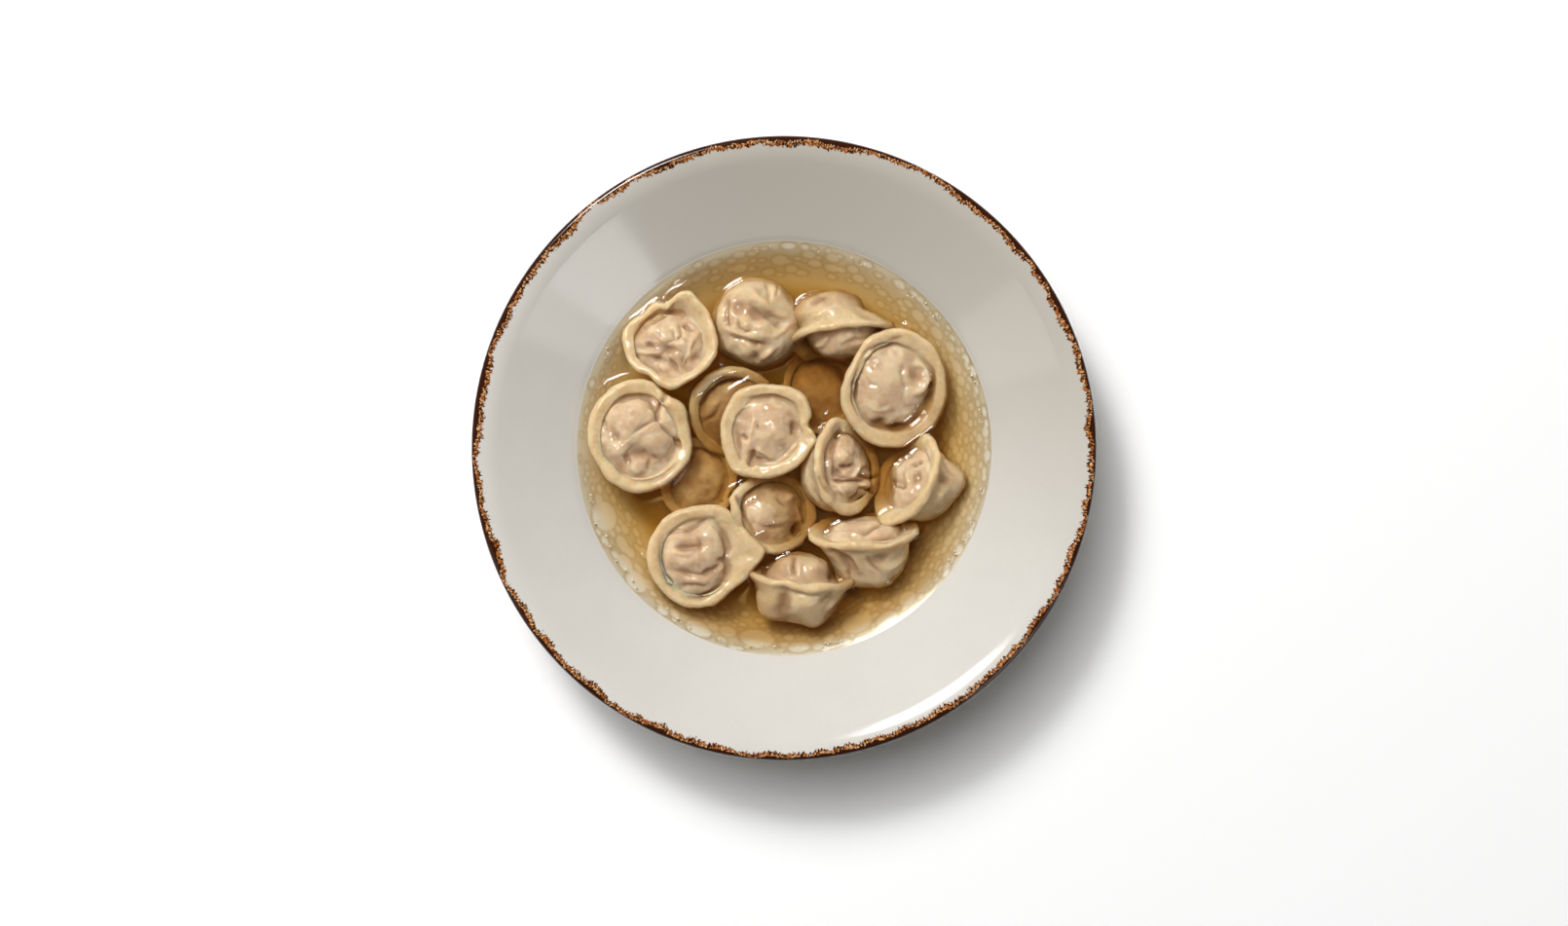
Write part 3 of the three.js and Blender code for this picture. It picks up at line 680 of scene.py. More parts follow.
            line(1.1, 0.9, (-24.5, -16), (-20.5, -20), (-17.3, -25), (-14, -31)),
            line(0.8, -1.1, (-20, -16), (-17.5, -20), (-16.4, -25), (-13.5, -30.5)),
            line(0.8, -1.3, (-4, -18), (-2.5, -19.8), (-0.5, -21.5)),
            lobe(1.3, -18, 2, 1.6, 1),
            line(0.8, 1, (3.5, -21), (5, -25.5), (6, -29)),
            lobe(4, -31, 1.6, 2, -2.8, -20),
            lobe(-8, -24, 4, 3.4, 0.9),
            lobe(-1.5, -27, 3, 2, 0.7, 20),
            line(0.9, -1, (4.5, -14), (7, -19), (6.3, -24)),
            line(0.8, -0.8, (-11, -28.5), (-6, -29.5), (-1, -29)),
        ),
    ),
    "pelmen_behind_centre": dict(
        at=(-20.4, 14.8, 19.2), facing=-50, tilt=13, radius=17.8, dome=12.4, dome_height=4.6,
        groove_height=1.2, lift=3, thickness=3.8, belly=12.4, belly_height=9.5, steep_and_shade_heights=(3, -6),
        corners=((100, 30, 0.4),),
        waves=((110, 50, 1.2),),
        folds=(
            line(1, -0.9, (-33, 17), (-31, 22), (-28, 26), (-24, 28), (-20, 28), (-14, 26)),
            lobe(-28, 18, 3, 2, 0.9, 40),
            line(1, -0.9, (-32, 12), (-28, 14), (-25, 19)),
            lobe(-22, 24, 3, 1.6, 0.7, 20),
        ),
    ),
}

# Two more lie wholly under the broth, so the solid model has none of them.
SUNK = {
    "sunk_pelmen_upper": dict(
        at=(13.5, 21.5, 14.6), facing=60, tilt=20, radius=16.6, oval=(0.1, 90), dome=12, dome_height=5,
        belly=12, belly_height=5.6,
    ),
    "sunk_pelmen_left": dict(
        at=(-33.6, -12.6, 14.8), facing=0, tilt=8, radius=16.4, oval=(0.05, 90), dome=11.6, dome_height=6,
        belly=12, belly_height=5.4, steep_and_shade_heights=(0, -22),
    ),
}


def gradient_noise(points, size, seed):
    """Smooth noise of about -1 to 1 whose blobs are about size across. Each corner of a grid of cells gets
    its own slope from its mixed up place, and the slopes are blended between the corners."""
    place = points / size + seed * np.array(NOISE_SHIFT)
    cell = np.floor(place).astype(np.int64)
    inside = place - cell
    blend = inside**3 * (inside * (inside * 6 - 15) + 10)
    total = np.zeros(len(points))
    for corner in np.ndindex(2, 2, 2):
        mixed = np.bitwise_xor.reduce((cell + corner) * HASH_PRIMES, axis=1)
        mixed = (mixed ^ (mixed >> 13)) * HASH_SPREAD & 0xFFFFFFFF
        mixed = mixed ^ (mixed >> 15)
        slopes = np.stack([(mixed >> shift & 1023) / 511.5 - 1 for shift in (0, 10, 20)], axis=1)
        weight = np.prod(np.where(corner, blend, 1 - blend), axis=1)
        total += weight * np.sum(slopes * (inside - corner), axis=1)
    return NOISE_GAIN * total


def wrinkles(points, size, seed):
    """Noise with sharp valleys, as thin dough has between its folds."""
    return 2 * np.abs(gradient_noise(points, size, seed)) - WRINKLE_MEAN


def layers(kind, points, noises, seed):
    """Noises of one kind laid over each other, as listed in SLACK."""
    return sum(kind(points, size, seed + shift) * depth for size, depth, shift in noises)


def circle(sides):
    """Points evenly round a circle of radius 1, in plan."""
    angles = np.arange(sides) * TAU / sides
    return np.stack([np.cos(angles), np.sin(angles)], axis=1)


def mesh_object(name, points, faces, smooth_angle=None):
    """An object from points in millimetres. Edges sharper than smooth_angle, if given, stay sharp."""
    mesh = bpy.data.meshes.new(name)
    mesh.from_pydata((np.asarray(points) * MM).tolist(), [], faces)
    mesh.polygons.foreach_set("use_smooth", [True] * len(mesh.polygons))
    if smooth_angle is not None:
        mesh.set_sharp_from_angle(angle=math.radians(smooth_angle))
    mesh.validate()
    mesh.update()
    made = bpy.data.objects.new(name, mesh)
    bpy.context.scene.collection.objects.link(made)
    return made


def set_point_values(made, name, values):
    """Stores one number for each point of a mesh, for its material to read."""
    attribute = made.data.attributes.new(name, "FLOAT", "POINT")
    attribute.data.foreach_set("value", np.asarray(values, dtype=np.float32))


def rgba(colour):
    """A colour as a socket takes it."""
    return (*colour[:3], 1.0)


class Shading:
    """Makes the nodes of one shader tree. A node's inputs are given as values or as sockets."""

    def __init__(self, tree):
        self.tree = tree

    def node(self, kind, inputs=None, **settings):
        """A shader node with its settings and inputs."""
        made = self.tree.nodes.new("ShaderNode" + kind)
        for key, value in settings.items():
            setattr(made, key, value)
        for key, value in (inputs or {}).items():
            if isinstance(value, bpy.types.NodeSocket):
                self.tree.links.new(value, made.inputs[key])
            else:
                made.inputs[key].default_value = value
        return made

    def shader(self, kind, inputs):
        """The result of a shader, a bump or another node that has only one."""
        return self.node(kind, inputs).outputs[0]

    def math(self, operation, *values):
        """The result of a Math node."""
        return self.node("Math", dict(enumerate(values)), operation=operation).outputs[0]

    def vector(self, operation, *values, **inputs):
        """The result of a Vector Math node: a number for a length or a dot product, else a vector."""
        made = self.node("VectorMath", {**dict(enumerate(values)), **inputs}, operation=operation)
        return made.outputs["Value" if operation in ("LENGTH", "DOT_PRODUCT") else "Vector"]

    def ramp(self, value, start, end, low=0.0, high=1.0):
        """A value carried smoothly from start..end to low..high, and held at both ends."""
        inputs = {"Value": value, "From Min": start, "From Max": end, "To Min": low, "To Max": high}
        return self.node("MapRange", inputs, interpolation_type="SMOOTHSTEP").outputs[0]

    def mix(self, share, *colours):
        """A colour share of the way from the first to the second."""
        first, second = (c if isinstance(c, bpy.types.NodeSocket) else rgba(c) for c in colours)
        return self.node("Mix", {0: share, 6: first, 7: second}, data_type="RGBA").outputs[2]

    def mix_shaders(self, share, first, second):
        """A shader share of the way from the first to the second."""
        return self.shader("MixShader", {0: share, 1: first, 2: second})

    def noise(self, vector, scale, detail=2.0):
        """Noise of so many blobs a metre."""
        return self.shader("TexNoise", {"Vector": vector, "Scale": scale, "Detail": detail})

    def axis(self, vector, name):
        """One number of a vector."""
        return self.node("SeparateXYZ", {0: vector}).outputs[name]

    def attribute(self, name):
        """What set_point_values has stored under a name."""
        return self.node("Attribute", attribute_name=name).outputs["Fac"]

    def mottle(self, vector, coarse, fine, share):
        """The mottling group's value and height, at so many blobs a metre."""
        inputs = {"Vector": vector, "Coarse Scale": coarse, "Fine Scale": fine, "Fine Share": share}
        made = self.node("Group", inputs, node_tree=mottle_group())
        return made.outputs["Value"], made.outputs["Height"]


def new_material(name):
    """A node material without nodes, and what makes them."""
    material = bpy.data.materials.new(name)
    material.use_nodes = True
    material.node_tree.nodes.clear()
    return material, Shading(material.node_tree)


def mottle_group():
    """A node group: two sizes of soft mottling, as a value from 0 to 1 and a height."""
    name = "Mottle"
    if name in bpy.data.node_groups:
        return bpy.data.node_groups[name]
    tree = bpy.data.node_groups.new(name, "ShaderNodeTree")
    tree.interface.new_socket("Vector", in_out="INPUT", socket_type="NodeSocketVector")
    for label in ("Coarse Scale", "Fine Scale", "Fine Share"):
        tree.interface.new_socket(label, in_out="INPUT", socket_type="NodeSocketFloat")
    for label in ("Value", "Height"):
        tree.interface.new_socket(label, in_out="OUTPUT", socket_type="NodeSocketFloat")
    make = Shading(tree)
    given = tree.nodes.new("NodeGroupInput").outputs
    coarse = make.noise(given["Vector"], given["Coarse Scale"])
    fine = make.noise(given["Vector"], given["Fine Scale"])
    inputs = {0: given["Fine Share"], 2: coarse, 3: fine}
    height = make.node("Mix", inputs, data_type="FLOAT").outputs[0]
    result = tree.nodes.new("NodeGroupOutput").inputs
    tree.links.new(make.ramp(height, *MOTTLE_ENDS), result["Value"])
    tree.links.new(height, result["Height"])
    return tree


def food_side(steps):
    """The food side of the bowl from the middle of its floor to the lip, as (radius, height, slope)."""
    points = [(0.0, FLOOR_HEIGHT, 0.0)]

    def straight(slope, length):
        x, y, _ = points[-1]
        angle = math.radians(slope)
        for i in range(1, steps + 1):
            along = length * i / steps
            points.append((x + along * math.cos(angle), y + along * math.sin(angle), slope))

    def arc(radius, start, end):
        x, y, _ = points[-1]
        turn = math.copysign(radius, end - start)
        for i in range(1, 2 * steps + 1):
            slope = start + (end - start) * i / (2 * steps)
            across = math.sin(math.radians(slope)) - math.sin(math.radians(start))
            up = math.cos(math.radians(start)) - math.cos(math.radians(slope))
            points.append((x + turn * across, y + turn * up, slope))

    straight(0, FLOOR_RADIUS)
    arc(WELL_CURVE, 0, WALL_SLOPE)
    straight(WALL_SLOPE, WALL_LENGTH)
    arc(SHOULDER_CURVE, WALL_SLOPE, BRIM_SLOPE)
    straight(BRIM_SLOPE, BRIM_LENGTH)
    arc(LIP_CURVE, BRIM_SLOPE, LIP_SLOPE)
    return np.array(points)


def into_wall(points, depth):
    """Points of the food side moved square to it, down through the wall, as (radius, height)."""
    slope = np.radians(points[:, 2])
    return np.stack([points[:, 0] + depth * np.sin(slope), points[:, 1] - depth * np.cos(slope)], 1)


def bowl_section():
    """The bowl's whole section from the axis under it, round the lip, to the axis on top."""
    top = food_side(BOWL_STEPS)
    edge_radius, edge_height, _ = top[-1]
    lip_slopes = np.radians(np.linspace(LIP_SLOPE, LIP_SLOPE - 180, LIP_STEPS + 1)[1:-1])
    start = math.radians(LIP_SLOPE)
    half = LIP_THICKNESS / 2
    lip = np.stack(
        [
            edge_radius - half * (np.sin(lip_slopes) - math.sin(start)),
            edge_height - half * (math.cos(start) - np.cos(lip_slopes)),
        ],
        axis=1,
    )
    foot_inner = FOOT_OUTER_RADIUS - FOOT_WIDTH
    foot = [
        (0, FOOT_RECESS),
        (foot_inner - 2 * FOOT_CHAMFER, FOOT_RECESS),
        (foot_inner - FOOT_CHAMFER, FOOT_RECESS),
        (foot_inner, FOOT_RECESS - FOOT_CHAMFER),
        (foot_inner, FOOT_CHAMFER),
        (foot_inner + FOOT_CHAMFER, 0),
        (FOOT_OUTER_RADIUS - FOOT_CHAMFER, 0),
        (FOOT_OUTER_RADIUS, FOOT_CHAMFER),
        (FOOT_OUTER_RADIUS + FOOT_CHAMFER, FOOT_RECESS),
    ]
    outside = top[top[:, 0] > FOOT_OUTER_RADIUS + FOOT_CHAMFER][:-1:UNDERSIDE_STEP]
    share = (outside[:, 0] - FOOT_OUTER_RADIUS) / (edge_radius - FOOT_OUTER_RADIUS)
    underside = into_wall(outside, WALL_THICKNESS + (LIP_THICKNESS - WALL_THICKNESS) * share)
    return np.concatenate([foot, underside, lip[::-1], top[::-1, :2]])


def lathed(section, sides):
    """Points and faces of a section turned round the axis. It starts and ends on the axis."""
    rings = section[1:-1]
    cosines, sines = circle(sides).T
    x = rings[:, :1] * cosines
    y = rings[:, :1] * sines
    z = np.repeat(rings[:, 1:], sides, axis=1)
    ends = [(0, 0, section[0, 1]), (0, 0, section[-1, 1])]
    points = np.concatenate([np.stack([x, y, z], axis=2).reshape(-1, 3), ends])
    return points, ring_faces(len(rings), sides, flip=True)


def ring_faces(rings, sides, flip=False):
    """Faces between rings of points, closed by the two points that come after them."""
    first, last = rings * sides, rings * sides + 1
    here = np.arange(rings * sides).reshape(rings, sides)
    there = np.roll(here, -1, axis=1)
    quads = np.stack([here[:-1], here[1:], there[1:], there[:-1]], axis=2).reshape(-1, 4)
    caps = [(first, a, b) for a, b in zip(here[0].tolist(), there[0].tolist())]
    caps += [(last, b, a) for a, b in zip(here[-1].tolist(), there[-1].tolist())]
    faces = quads.tolist() + caps
    return [face[::-1] for face in faces] if flip else faces


def rim_masks(make, depth, place, flat):
    """The speckled rim from the depth in from its edge: thin amber, thick brown and pale amber flecks."""
    around = make.vector("SCALE", make.vector("NORMALIZE", flat), Scale=RIM_SPREAD)
    drawn = make.vector("ADD", make.vector("MULTIPLY", place, RIM_SQUEEZE), around)
    teeth, flecks, glints, drift = (
        make.math("SUBTRACT", make.noise(make.vector("ADD", drawn, (shift, 0, 0)), scale, detail), 0.5)
        for scale, detail, shift in RIM_NOISES
    )
    wander = make.math("MULTIPLY_ADD", drift, RIM_WANDER, depth)
    ragged = make.math("MULTIPLY_ADD", teeth, RIM_TEETH, wander)
    amber = make.ramp(ragged, *AMBER_ENDS)
    at_lip = make.ramp(make.math("MULTIPLY_ADD", teeth, LIP_TEETH, wander), *BROWN_AT_LIP)
    thick = make.math("ADD", at_lip, make.ramp(ragged, *BROWN_INSIDE))
    thick = make.ramp(make.math("ADD", flecks, thick), *BROWN_FLECKS)
    pale = make.math("ADD", glints, make.ramp(ragged, *PALE_INSIDE))
    return amber, make.math("MULTIPLY", thick, amber), make.ramp(pale, *PALE_FLECKS)


def glaze_material(settings):
    """Cream glaze, speckled brown and amber along the rim, tinted where the broth wets it, with bare clay
    under the foot.
    Painted shade darkens it on one side and on the bed under the broth, where the broth's depth colours it
    too, and a painted light band lies at the shore."""
    material, make = new_material("Cream glaze")
    place = make.node("TexCoord").outputs["Object"]
    normal = make.node("NewGeometry").outputs["Normal"]
    flat = make.vector("MULTIPLY", place, (1, 1, 0))
    radius = make.vector("LENGTH", flat)
    height = make.axis(place, "Z")
    above = make.math("SUBTRACT", height, BROTH_HEIGHT * MM)
    upward = make.ramp(make.axis(normal, "Z"), *FACES_UP)
    inside = make.math("MULTIPLY", make.ramp(radius, *WITHIN_SHORE), upward)

    value, grain = make.mottle(place, *GLAZE_MOTTLE)
    glaze = make.mix(value, settings.glaze, [c * GLAZE_DARKEST for c in settings.glaze])
    # Painted shade: the glaze is darker and warmer towards one side of the bowl, but not under the broth.
    thickness = make.ramp(make.vector("DOT_PRODUCT", flat, SHADED_SIDE), *SHADE_DEEPENS)
    covered = make.math("MULTIPLY", make.ramp(radius, *UNDER_BROTH), upward)
    glaze = make.mix(make.math("SUBTRACT", thickness, covered), glaze, settings.glaze_shaded)
    depth = make.math("SUBTRACT", settings.rim_radius, radius)
    amber, brown, pale = rim_masks(make, depth, place, flat)
    glaze = make.mix(amber, glaze, make.mix(pale, settings.amber, settings.amber_pale))
    glaze = make.mix(brown, glaze, settings.brown)

    shallow = make.math("MULTIPLY", make.ramp(above, *FILM_FADES), inside)
    deep = make.math("MULTIPLY", make.ramp(above, *STEEPING), inside)
    # Painted shade: the bed under the broth is darker towards both ends of one way across the bowl.
    side = make.vector("DOT_PRODUCT", flat, BED_SHADE_WAY)
    side = make.math("ADD", make.ramp(side, *BED_SHADE_NEAR), make.ramp(side, *BED_SHADE_FAR))
    # Broth colour and painted shade: the floor is darker and more amber low down, in the gaps between the
    # dumplings.
    bottom = make.math("MULTIPLY", make.ramp(height, *BED), inside)
    steeped = make.mix(deep, WHITE, settings.steeped)
    steeped = make.mix(make.math("MULTIPLY", side, deep), steeped, settings.bed_shade_ends)
    steeped = make.mix(bottom, steeped, settings.deep_bed_tint_and_shade)
    wet = make.vector("MULTIPLY", make.mix(shallow, WHITE, settings.film), steeped)
    # Painted light: a thin lighter band on the glaze at the shore.
    shore_light = make.math("SUBTRACT", shallow, make.ramp(above, *SHORE_LIGHT_ENDS))
    wet = make.vector("SCALE", wet, Scale=make.math("MULTIPLY_ADD", shore_light, SHORE_PAINTED_LIGHT, 1.0))
    bare = make.ramp(height, *BARE_FOOT)

    # The broth's film levels the glaze, so it is shaded as if it faced further up.
    levelled = make.vector("ADD", normal, make.shader("CombineXYZ", {"Z": shallow}))
    levelled = make.vector("NORMALIZE", levelled)
    bump = {"Height": grain, "Strength": 0.04, "Distance": 0.001, "Normal": levelled}
    inputs = {
        "Base Color": make.mix(bare, make.vector("MULTIPLY", glaze, wet), CLAY),
        "Roughness": make.ramp(bare, 0, 1, *GLAZE_ROUGHNESS),
        "Normal": make.shader("Bump", bump),
        "IOR": 1.5,
    }
    make.node("OutputMaterial", {"Surface": make.shader("BsdfPrincipled", inputs)})
    return material


def dough_material(settings):
    """Wet boiled dough: cream on the brim, with the filling's mauve where it is thin. Some light goes
    through, so its shadows in the broth stay warm and pale. Its hollows are darkened with painted shade, and
    it is
    darker and browner low down: broth colour under the broth, painted shade above it."""
    material, make = new_material("Boiled dough")
    place = make.node("TexCoord").outputs["Object"]
    filling = make.attribute("filling")
    value, height = make.mottle(place, *DOUGH_MOTTLE)
    seen = make.math("MULTIPLY", filling, make.ramp(make.noise(place, PATCH_SCALE), *PATCHES))
    # Painted shade: the dough is darker down in its hollows and folds.
    shaded_hollow = make.math("MULTIPLY", make.attribute("shaded_hollow"), SHADED_HOLLOWS_SHOW)
    colour = make.mix(value, settings.dough, settings.dough_pale)
    colour = make.mix(filling, colour, settings.dough_thin)
    colour = make.mix(seen, colour, settings.filling)
    colour = make.mix(shaded_hollow, colour, settings.shaded_hollow)
    # Darker and browner low on the dough: broth colour under the broth, painted shade above it.
    steeped_and_shaded = make.mix(make.attribute("steep_and_shade"), WHITE, settings.steeped_and_shaded)
    above = make.math("SUBTRACT", make.axis(place, "Z"), BROTH_HEIGHT * MM)
    above = make.ramp(above, *ABOVE_BROTH)
    inputs = {
        "Base Color": make.vector("MULTIPLY", colour, steeped_and_shaded),
        "Roughness": make.ramp(above, 0, 1, *DOUGH_ROUGHNESS),
        "Normal": make.shader("Bump", {"Height": height, "Strength": 0.25, "Distance": 0.0006}),
        "Coat Weight": make.math("MULTIPLY", above, DOUGH_COAT),
        "Coat Roughness": 0.12,
        "Coat IOR": 1.34,
        "IOR": 1.38,
        "Specular IOR Level": 0.25,
        "Subsurface Weight": 1.0,
        "Subsurface Radius": (1.0, 0.62, 0.36),
        "Subsurface Scale": 0.0036,
    }
    dough = make.shader("BsdfPrincipled", inputs)
    through = make.shader("BsdfTransparent", {"Color": rgba(DOUGH_LETS_THROUGH)})
    pierced = make.mix_shaders(DOUGH_SHADOW_SHARE, dough, through)
    in_shadow = make.node("LightPath").outputs["Is Shadow Ray"]
    make.node("OutputMaterial", {"Surface": make.mix_shaders(in_shadow, dough, pierced)})
    return material


def broth_material(settings):
    """Clear broth that bends what is seen through it and lets the light of lamps straight in. The drops of
    fat on it gather light, so less gets through between them, and least on the line round each."""
    material, make = new_material("Broth")
    # Painted shade: the broth's surface is darker between the drops and darkest on the line round each, for
    # the light the drops gather.
    dimmed = make.mix(make.attribute("fat"), settings.between_drops, WHITE)
    dimmed = make.mix(make.attribute("drop_line_shade"), dimmed, settings.round_drops)
    inputs = {
        # A clear surface takes the square root of its colour from what crosses it.
        "Base Color": make.vector("MULTIPLY", dimmed, dimmed),
        "Roughness": 0.0,
        "IOR": 1.34,
        "Transmission Weight": 1.0,
    }
    clear = make.shader("BsdfPrincipled", inputs)
    through = make.shader("BsdfTransparent", {"Color": dimmed})
    rays = make.node("LightPath").outputs
    soft = make.mix_shaders(rays["Is Diffuse Ray"], clear, through)
    surface = make.mix_shaders(rays["Is Shadow Ray"], soft, through)
    inputs = {"Color": rgba(settings.colour), "Density": settings.density}
    depths = make.shader("VolumeAbsorption", inputs)
    make.node("OutputMaterial", {"Surface": surface, "Volume": depths})
    return material


def fat_material(settings):
    """Beads of fat, which are too small to see through: they only shine. Their pale colour is partly the
    fat's own and partly painted light, for the light that clear beads catch.
    """
    material, make = new_material("Fat")
    value, _ = make.mottle(make.node("TexCoord").outputs["Object"], *FAT_MOTTLE)
    yellow = make.mix(value, settings.fat, [c * FAT_DARKEST for c in settings.fat])
    inputs = {"Base Color": yellow, "Roughness": 0.25, "IOR": 1.46}
    make.node("OutputMaterial", {"Surface": make.shader("BsdfPrincipled", inputs)})
    return material


def near(angles, centre, width):
    """1 where the angle is the centre's, falling off over the width either side of it."""
    apart = (angles - centre + 180) % 360 - 180
    return np.exp(-((apart / width) ** 2))


def section_stations(pelmen, angles):
    """A dumpling's section at each angle, from the top of its face to its underside: radii and heights."""
    stretch, along = pelmen["oval"]
    swell = stretch * np.cos(2 * np.radians(angles - along))
    edge = pelmen["radius"] * (1 + swell)
    for at, width, length in pelmen["corners"]:
        edge = edge + length * near(angles, at, width)
    groove, thickness = pelmen["groove_height"], pelmen["thickness"]
    top = groove + pelmen["lift"] + 0 * angles
    for at, width, length in pelmen["waves"]:
        top = top + length * near(angles, at, width)
    filled = groove + GROOVE_FILL * pelmen["lift"]
    dome = pelmen["dome"] * (1 + DOME_OVAL * swell)
    belly = pelmen["belly"] * (1 + BELLY_OVAL * swell)
    dome_height, belly_height = pelmen["dome_height"], pelmen["belly_height"]
    level = 0 * angles
    stations = [
        # The face, which domes over the filling.
        (level, level + dome_height),
        (0.42 * dome, level + 0.93 * dome_height),
        (0.74 * dome, level + 0.7 * dome_height),
        (0.93 * dome, level + 0.28 * dome_height + 0.45 * filled),
        # The groove, and the brim that rises from it and rounds over its edge.
        (dome + 0.8, level + filled),
        (0.45 * dome + 0.55 * edge - 0.5 * thickness, filled + 0.66 * (top - filled)),
        (edge - 0.9 * thickness, top - 0.04 * thickness),
        (edge - 0.28 * thickness, top + 0.02 * thickness),
        (edge, top - 0.4 * thickness),
        (edge - 0.35 * thickness, top - 1.05 * thickness),
        # Under the brim, and the belly.
        (0.35 * edge + 0.65 * belly, level + groove - 0.95 * thickness),
        (belly, level - 0.36 * belly_height),
        (0.82 * belly, level - 0.72 * belly_height),
        (0.46 * belly, level - 0.95 * belly_height),
        (level, level - belly_height),
    ]
    return np.array(stations)


def smooth_rows(values, knots, rows):
    """Values at the knots carried smoothly to the rows. The first and last knot lie past the ends."""
    gaps = np.diff(knots).reshape(-1, *[1] * (values.ndim - 1))
    slopes = np.diff(values, axis=0) / gaps
    tangents = (slopes[:-1] * gaps[1:] + slopes[1:] * gaps[:-1]) / (gaps[:-1] + gaps[1:])
    inner = knots[1:-1]
    index = np.clip(np.searchsorted(inner, rows, side="right") - 1, 0, len(inner) - 2)
    gap = (inner[index + 1] - inner[index]).reshape(-1, *[1] * (values.ndim - 1))
    t = (rows - inner[index]).reshape(gap.shape) / gap
    start, end = values[1:-1][index], values[1:-1][index + 1]
    return (
        (2 * t**3 - 3 * t**2 + 1) * start
        + (t**3 - 2 * t**2 + t) * gap * tangents[index]
        + (3 * t**2 - 2 * t**3) * end
        + (t**3 - t**2) * gap * tangents[index + 1]
    )


def station_knots():
    """Knots of the usual section's stations, with one past each end, and how far along each row lies."""
    section = section_stations(USUAL, np.zeros(1))[:, :, 0]
    mirrored = section * (-1, 1)
    extended = np.concatenate([mirrored[1:2], section, mirrored[-2:-1]])
    lengths = np.linalg.norm(np.diff(extended, axis=0), axis=1)
    knots = np.concatenate([[0], np.cumsum(np.sqrt(lengths))])
    travelled = np.concatenate([[0], np.cumsum(lengths[1:-1])])
    rows = np.interp(np.linspace(0, travelled[-1], ROWS + 1), travelled, knots[1:-1])
    return knots, rows


def mirrored_ends(values, sign):
    """Values at the stations with one more past each end, as the other side of the axis has it."""
    return np.concatenate([values[1:2] * sign, values, values[-2:-1] * sign])


def pelmen_grid(pelmen):
    """A dumpling's points where it lies, row by row from its face, and how far along its section each is."""
    angles = np.arange(AROUND) * 360 / AROUND
    section = section_stations(pelmen, angles)
    knots, rows = station_knots()
    radii = smooth_rows(mirrored_ends(section[:, 0], -1), knots, rows)
    heights = smooth_rows(mirrored_ends(section[:, 1], 1), knots, rows)
    count = len(section)
    shifts = np.zeros((count, 2))
    shifts[: GROOVE_STATION + 1] = pelmen["dome_at"]
    shifts[BELLY_STATION:] = pelmen["belly_at"]
    shifts = smooth_rows(mirrored_ends(shifts, 1), knots, rows)
    soft = np.zeros(count)
    soft[:GROOVE_STATION] = 1
    soft[BELLY_STATION:] = 1
    soft = np.clip(smooth_rows(mirrored_ends(soft, 1), knots, rows), 0, 1)
    stations = np.interp(rows, knots[1:-1], np.arange(count))
    turn = np.radians(angles)
    grid = np.stack(
        [
            radii * np.cos(turn) + shifts[:, :1],
            radii * np.sin(turn) + shifts[:, 1:],
            heights,
        ],
        axis=2,
    )
    core = np.array((0, 0, 0.5 * (pelmen["dome_height"] - pelmen["belly_height"])))
    out = grid - core
    out /= np.linalg.norm(out, axis=2, keepdims=True)
    push = np.zeros(grid.shape[:2])
    for around, down, width, length in pelmen["lumps"]:
        around, down = math.radians(around), math.radians(down)
        way = (math.sin(down) * math.cos(around), math.sin(down) * math.sin(around), math.cos(down))
        apart = np.degrees(np.arccos(np.clip(out @ np.array(way), -1, 1)))
        push += length * np.exp(-((apart / width) ** 2))
    grid += out * (push * soft[:, None])[:, :, None]
    return placed(grid, pelmen), stations


def placed(grid, pelmen):
    """Points of a dumpling's own frame, leaned and moved to where it lies."""
    facing = math.radians(pelmen["facing"])
    lean = Quaternion((-math.sin(facing), math.cos(facing), 0), math.radians(pelmen["tilt"]))
    return grid @ np.array(lean.to_matrix()).T + pelmen["at"]


def grid_normals(grid):
    """Outward normals of a grid of rows, whose ends are poles."""
    around = np.roll(grid, -1, axis=1) - np.roll(grid, 1, axis=1)
    down = np.gradient(grid, axis=0)
    normals = np.cross(down, around)
    normals[0] = normals[1].mean(axis=0)
    normals[-1] = normals[-2].mean(axis=0)
    return normals / np.maximum(np.linalg.norm(normals, axis=2, keepdims=True), 1e-9)


def with_ends(values):
    """Values of a grid of rows in the order of its mesh's points: the ends come last, once each."""
    return np.concatenate([values[1:-1].reshape(-1, *values.shape[2:]), values[:1, 0], values[-1:, 0]])


